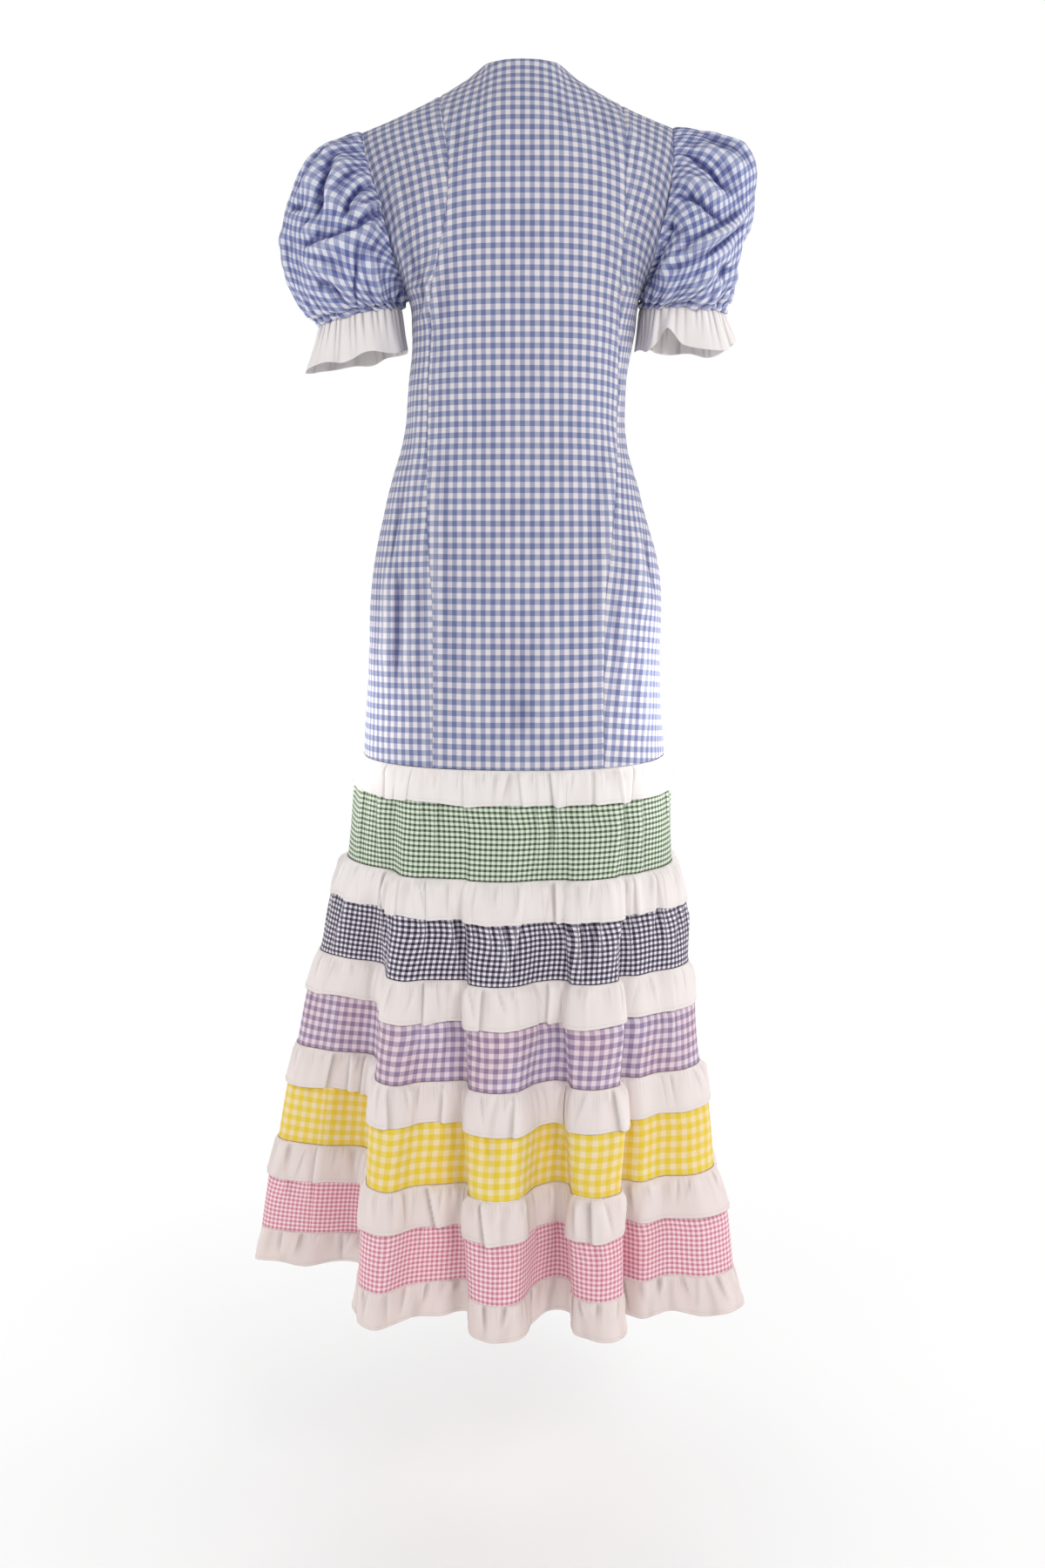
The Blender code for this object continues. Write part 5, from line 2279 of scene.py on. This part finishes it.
    def build(self, white: Material) -> tuple[list[Piece], list[Array]]:
        """Make and dress every band and ruffle.

        Args:
            white: the ruffles' cotton.

        Returns:
            The pieces, from the top down, and the lines of the ruffles' hem stitches.
        """
        pieces, lines = [], []
        for tier in self.tiers:
            pieces.append(self.band(tier, tier.finish.build()))
            ruffle, line = self.ruffle(tier, white)
            pieces.append(ruffle)
            lines.append(line)
        ruffle, line = self.hem_ruffle(white)
        return [*pieces, ruffle], [*lines, line]


# Light, floor and camera


@dataclass(frozen=True)
class Lamp:
    """A soft panel light aimed at a point."""

    name: str
    place: tuple[float, float, float]
    aim: tuple[float, float, float]
    size: float
    watts: float
    spread: float = 180.0

    def build(self) -> None:
        """Add the light."""
        light = bpy.data.lights.new(self.name, "AREA")
        light.shape = "DISK"
        light.size = self.size
        light.energy = self.watts
        light.spread = math.radians(self.spread)
        lamp = add_object(self.name, light)
        lamp.location = self.place
        towards = Vector(self.aim) - Vector(self.place)
        lamp.rotation_euler = towards.to_track_quat("-Z", "Y").to_euler()


@dataclass(frozen=True)
class Studio:
    """A white room with soft light, and the camera behind the dress."""

    camera_back: float = 1.9
    camera_height: float = -0.452
    lens: float = 38.62
    shift: float = -0.1983
    floor_height: float = -1.6
    floor_size: float = 3.0
    floor_pale: tuple[float, ...] = (0.93, 0.93, 0.93, 1.0)
    floor_dark: tuple[float, ...] = (0.88, 0.88, 0.88, 1.0)
    room: float = 0.4
    lamps: tuple[Lamp, ...] = (
        Lamp("key", (-1.4, 2.4, 0.7), (0.0, 0.0, -0.6), 1.3, 35.0),
        Lamp("fill", (1.7, 2.3, 0.0), (0.0, 0.0, -1.0), 1.8, 17.0),
        Lamp("side_left", (1.9, -0.35, -0.4), (0.0, -0.05, -0.6), 1.5, 14.0),
        Lamp("side_right", (-1.9, -0.3, -0.4), (0.0, -0.05, -0.6), 1.5, 18.0),
        Lamp("hip_left", (1.4, 0.4, -0.72), (0.17, -0.02, -0.71), 0.16, 0.12, 12.0),
        Lamp("hip_right", (-1.4, 0.4, -0.72), (-0.16, -0.02, -0.69), 0.16, 0.2, 13.0),
        Lamp("front", (0.0, -2.2, 0.3), (0.0, 0.0, -0.7), 1.6, 20.0),
    )

    def camera(self) -> None:
        """Set the camera at the photograph's angle."""
        data = bpy.data.cameras.new("camera")
        data.sensor_fit = "AUTO"
        data.sensor_width = 36.0
        data.lens = self.lens
        data.shift_y = self.shift
        camera = add_object("camera", data)
        camera.location = (0.0, self.camera_back, self.camera_height)
        camera.rotation_euler = (math.radians(90.0), 0.0, math.radians(180.0))
        bpy.context.scene.camera = camera

    def backdrop(self) -> None:
        """White all round, softer as light than it looks to the camera."""
        scene = bpy.context.scene
        world = bpy.data.worlds.new("room")
        scene.world = world
        world.use_nodes = True
        nodes, links = world.node_tree.nodes, world.node_tree.links
        nodes.clear()
        path = nodes.new("ShaderNodeLightPath")
        lit, seen = nodes.new("ShaderNodeBackground"), nodes.new("ShaderNodeBackground")
        lit.inputs["Strength"].default_value = self.room
        lit.inputs["Color"].default_value = WHITE
        seen.inputs["Color"].default_value = WHITE
        mixed, out = nodes.new("ShaderNodeMixShader"), nodes.new("ShaderNodeOutputWorld")
        links.new(path.outputs["Is Camera Ray"], mixed.inputs[0])
        links.new(lit.outputs[0], mixed.inputs[1])
        links.new(seen.outputs[0], mixed.inputs[2])
        links.new(mixed.outputs[0], out.inputs[0])
        scene.view_settings.view_transform = "Standard"

    def floor(self) -> None:
        """A pale floor that fades into the room."""
        mesh = bpy.data.meshes.new("floor")
        work = bmesh.new()
        bmesh.ops.create_circle(work, cap_ends=True, radius=self.floor_size, segments=96)
        work.to_mesh(mesh)
        work.free()
        floor = add_object("floor", mesh)
        floor.location.z = self.floor_height
        tree = FinishTree("floor_paint")
        place = tree.add("ShaderNodeTexCoord").outputs["Object"]
        grain = tree.noise_value(place, 3.0, 2.0)
        tree.surface(tree.mix(grain * 0.2, self.floor_pale, self.floor_dark), grain * 0.1 + 0.7)
        far = tree.add("ShaderNodeVectorMath", {"operation": "LENGTH"}, {0: place})
        share = ((Value(tree, far.outputs["Value"]) - 0.1) / 0.8).clamped()
        glow = tree.add("ShaderNodeEmission", {}, {"Color": WHITE, "Strength": 1.0})
        mixed = tree.add("ShaderNodeMixShader", {}, {0: share, 1: tree.shader.outputs[0], 2: glow.outputs[0]})
        tree.links.new(mixed.outputs[0], tree.nodes["Material Output"].inputs["Surface"])
        mesh.materials.append(tree.material)

    def build(self) -> None:
        """Set up the room, the lights, the floor and the camera."""
        self.backdrop()
        for lamp in self.lamps:
            lamp.build()
        self.floor()
        self.camera()


def main() -> None:
    """Build the dress from the neck down, then the studio."""
    logging.basicConfig(level=logging.INFO, format="%(name)s: %(message)s")
    blue, white = BLUE.build(), RUFFLE.build()
    bodice = Bodice()
    pieces = bodice.build(blue)
    cuffs, sleeve_blue = [], SLEEVE_BLUE.build()
    for cut in SLEEVES:
        made, line = PuffSleeve(cut, bodice).build(sleeve_blue, white)
        pieces += made
        cuffs.append((line, True))
    made, lines = Skirt().build(white)
    pieces += made
    sewing, thread = Stitches(), Thread().build()
    sewing.build("stitches_neck", bodice.neck_lines(), thread)
    sewing.build("stitches_cuffs", cuffs, thread)
    sewing.build("stitches_ruffles", [(line, True) for line in lines], thread)
    Studio().build()
    log.info("%d pieces of cloth", len(pieces))


if __name__ == "__main__":
    main()
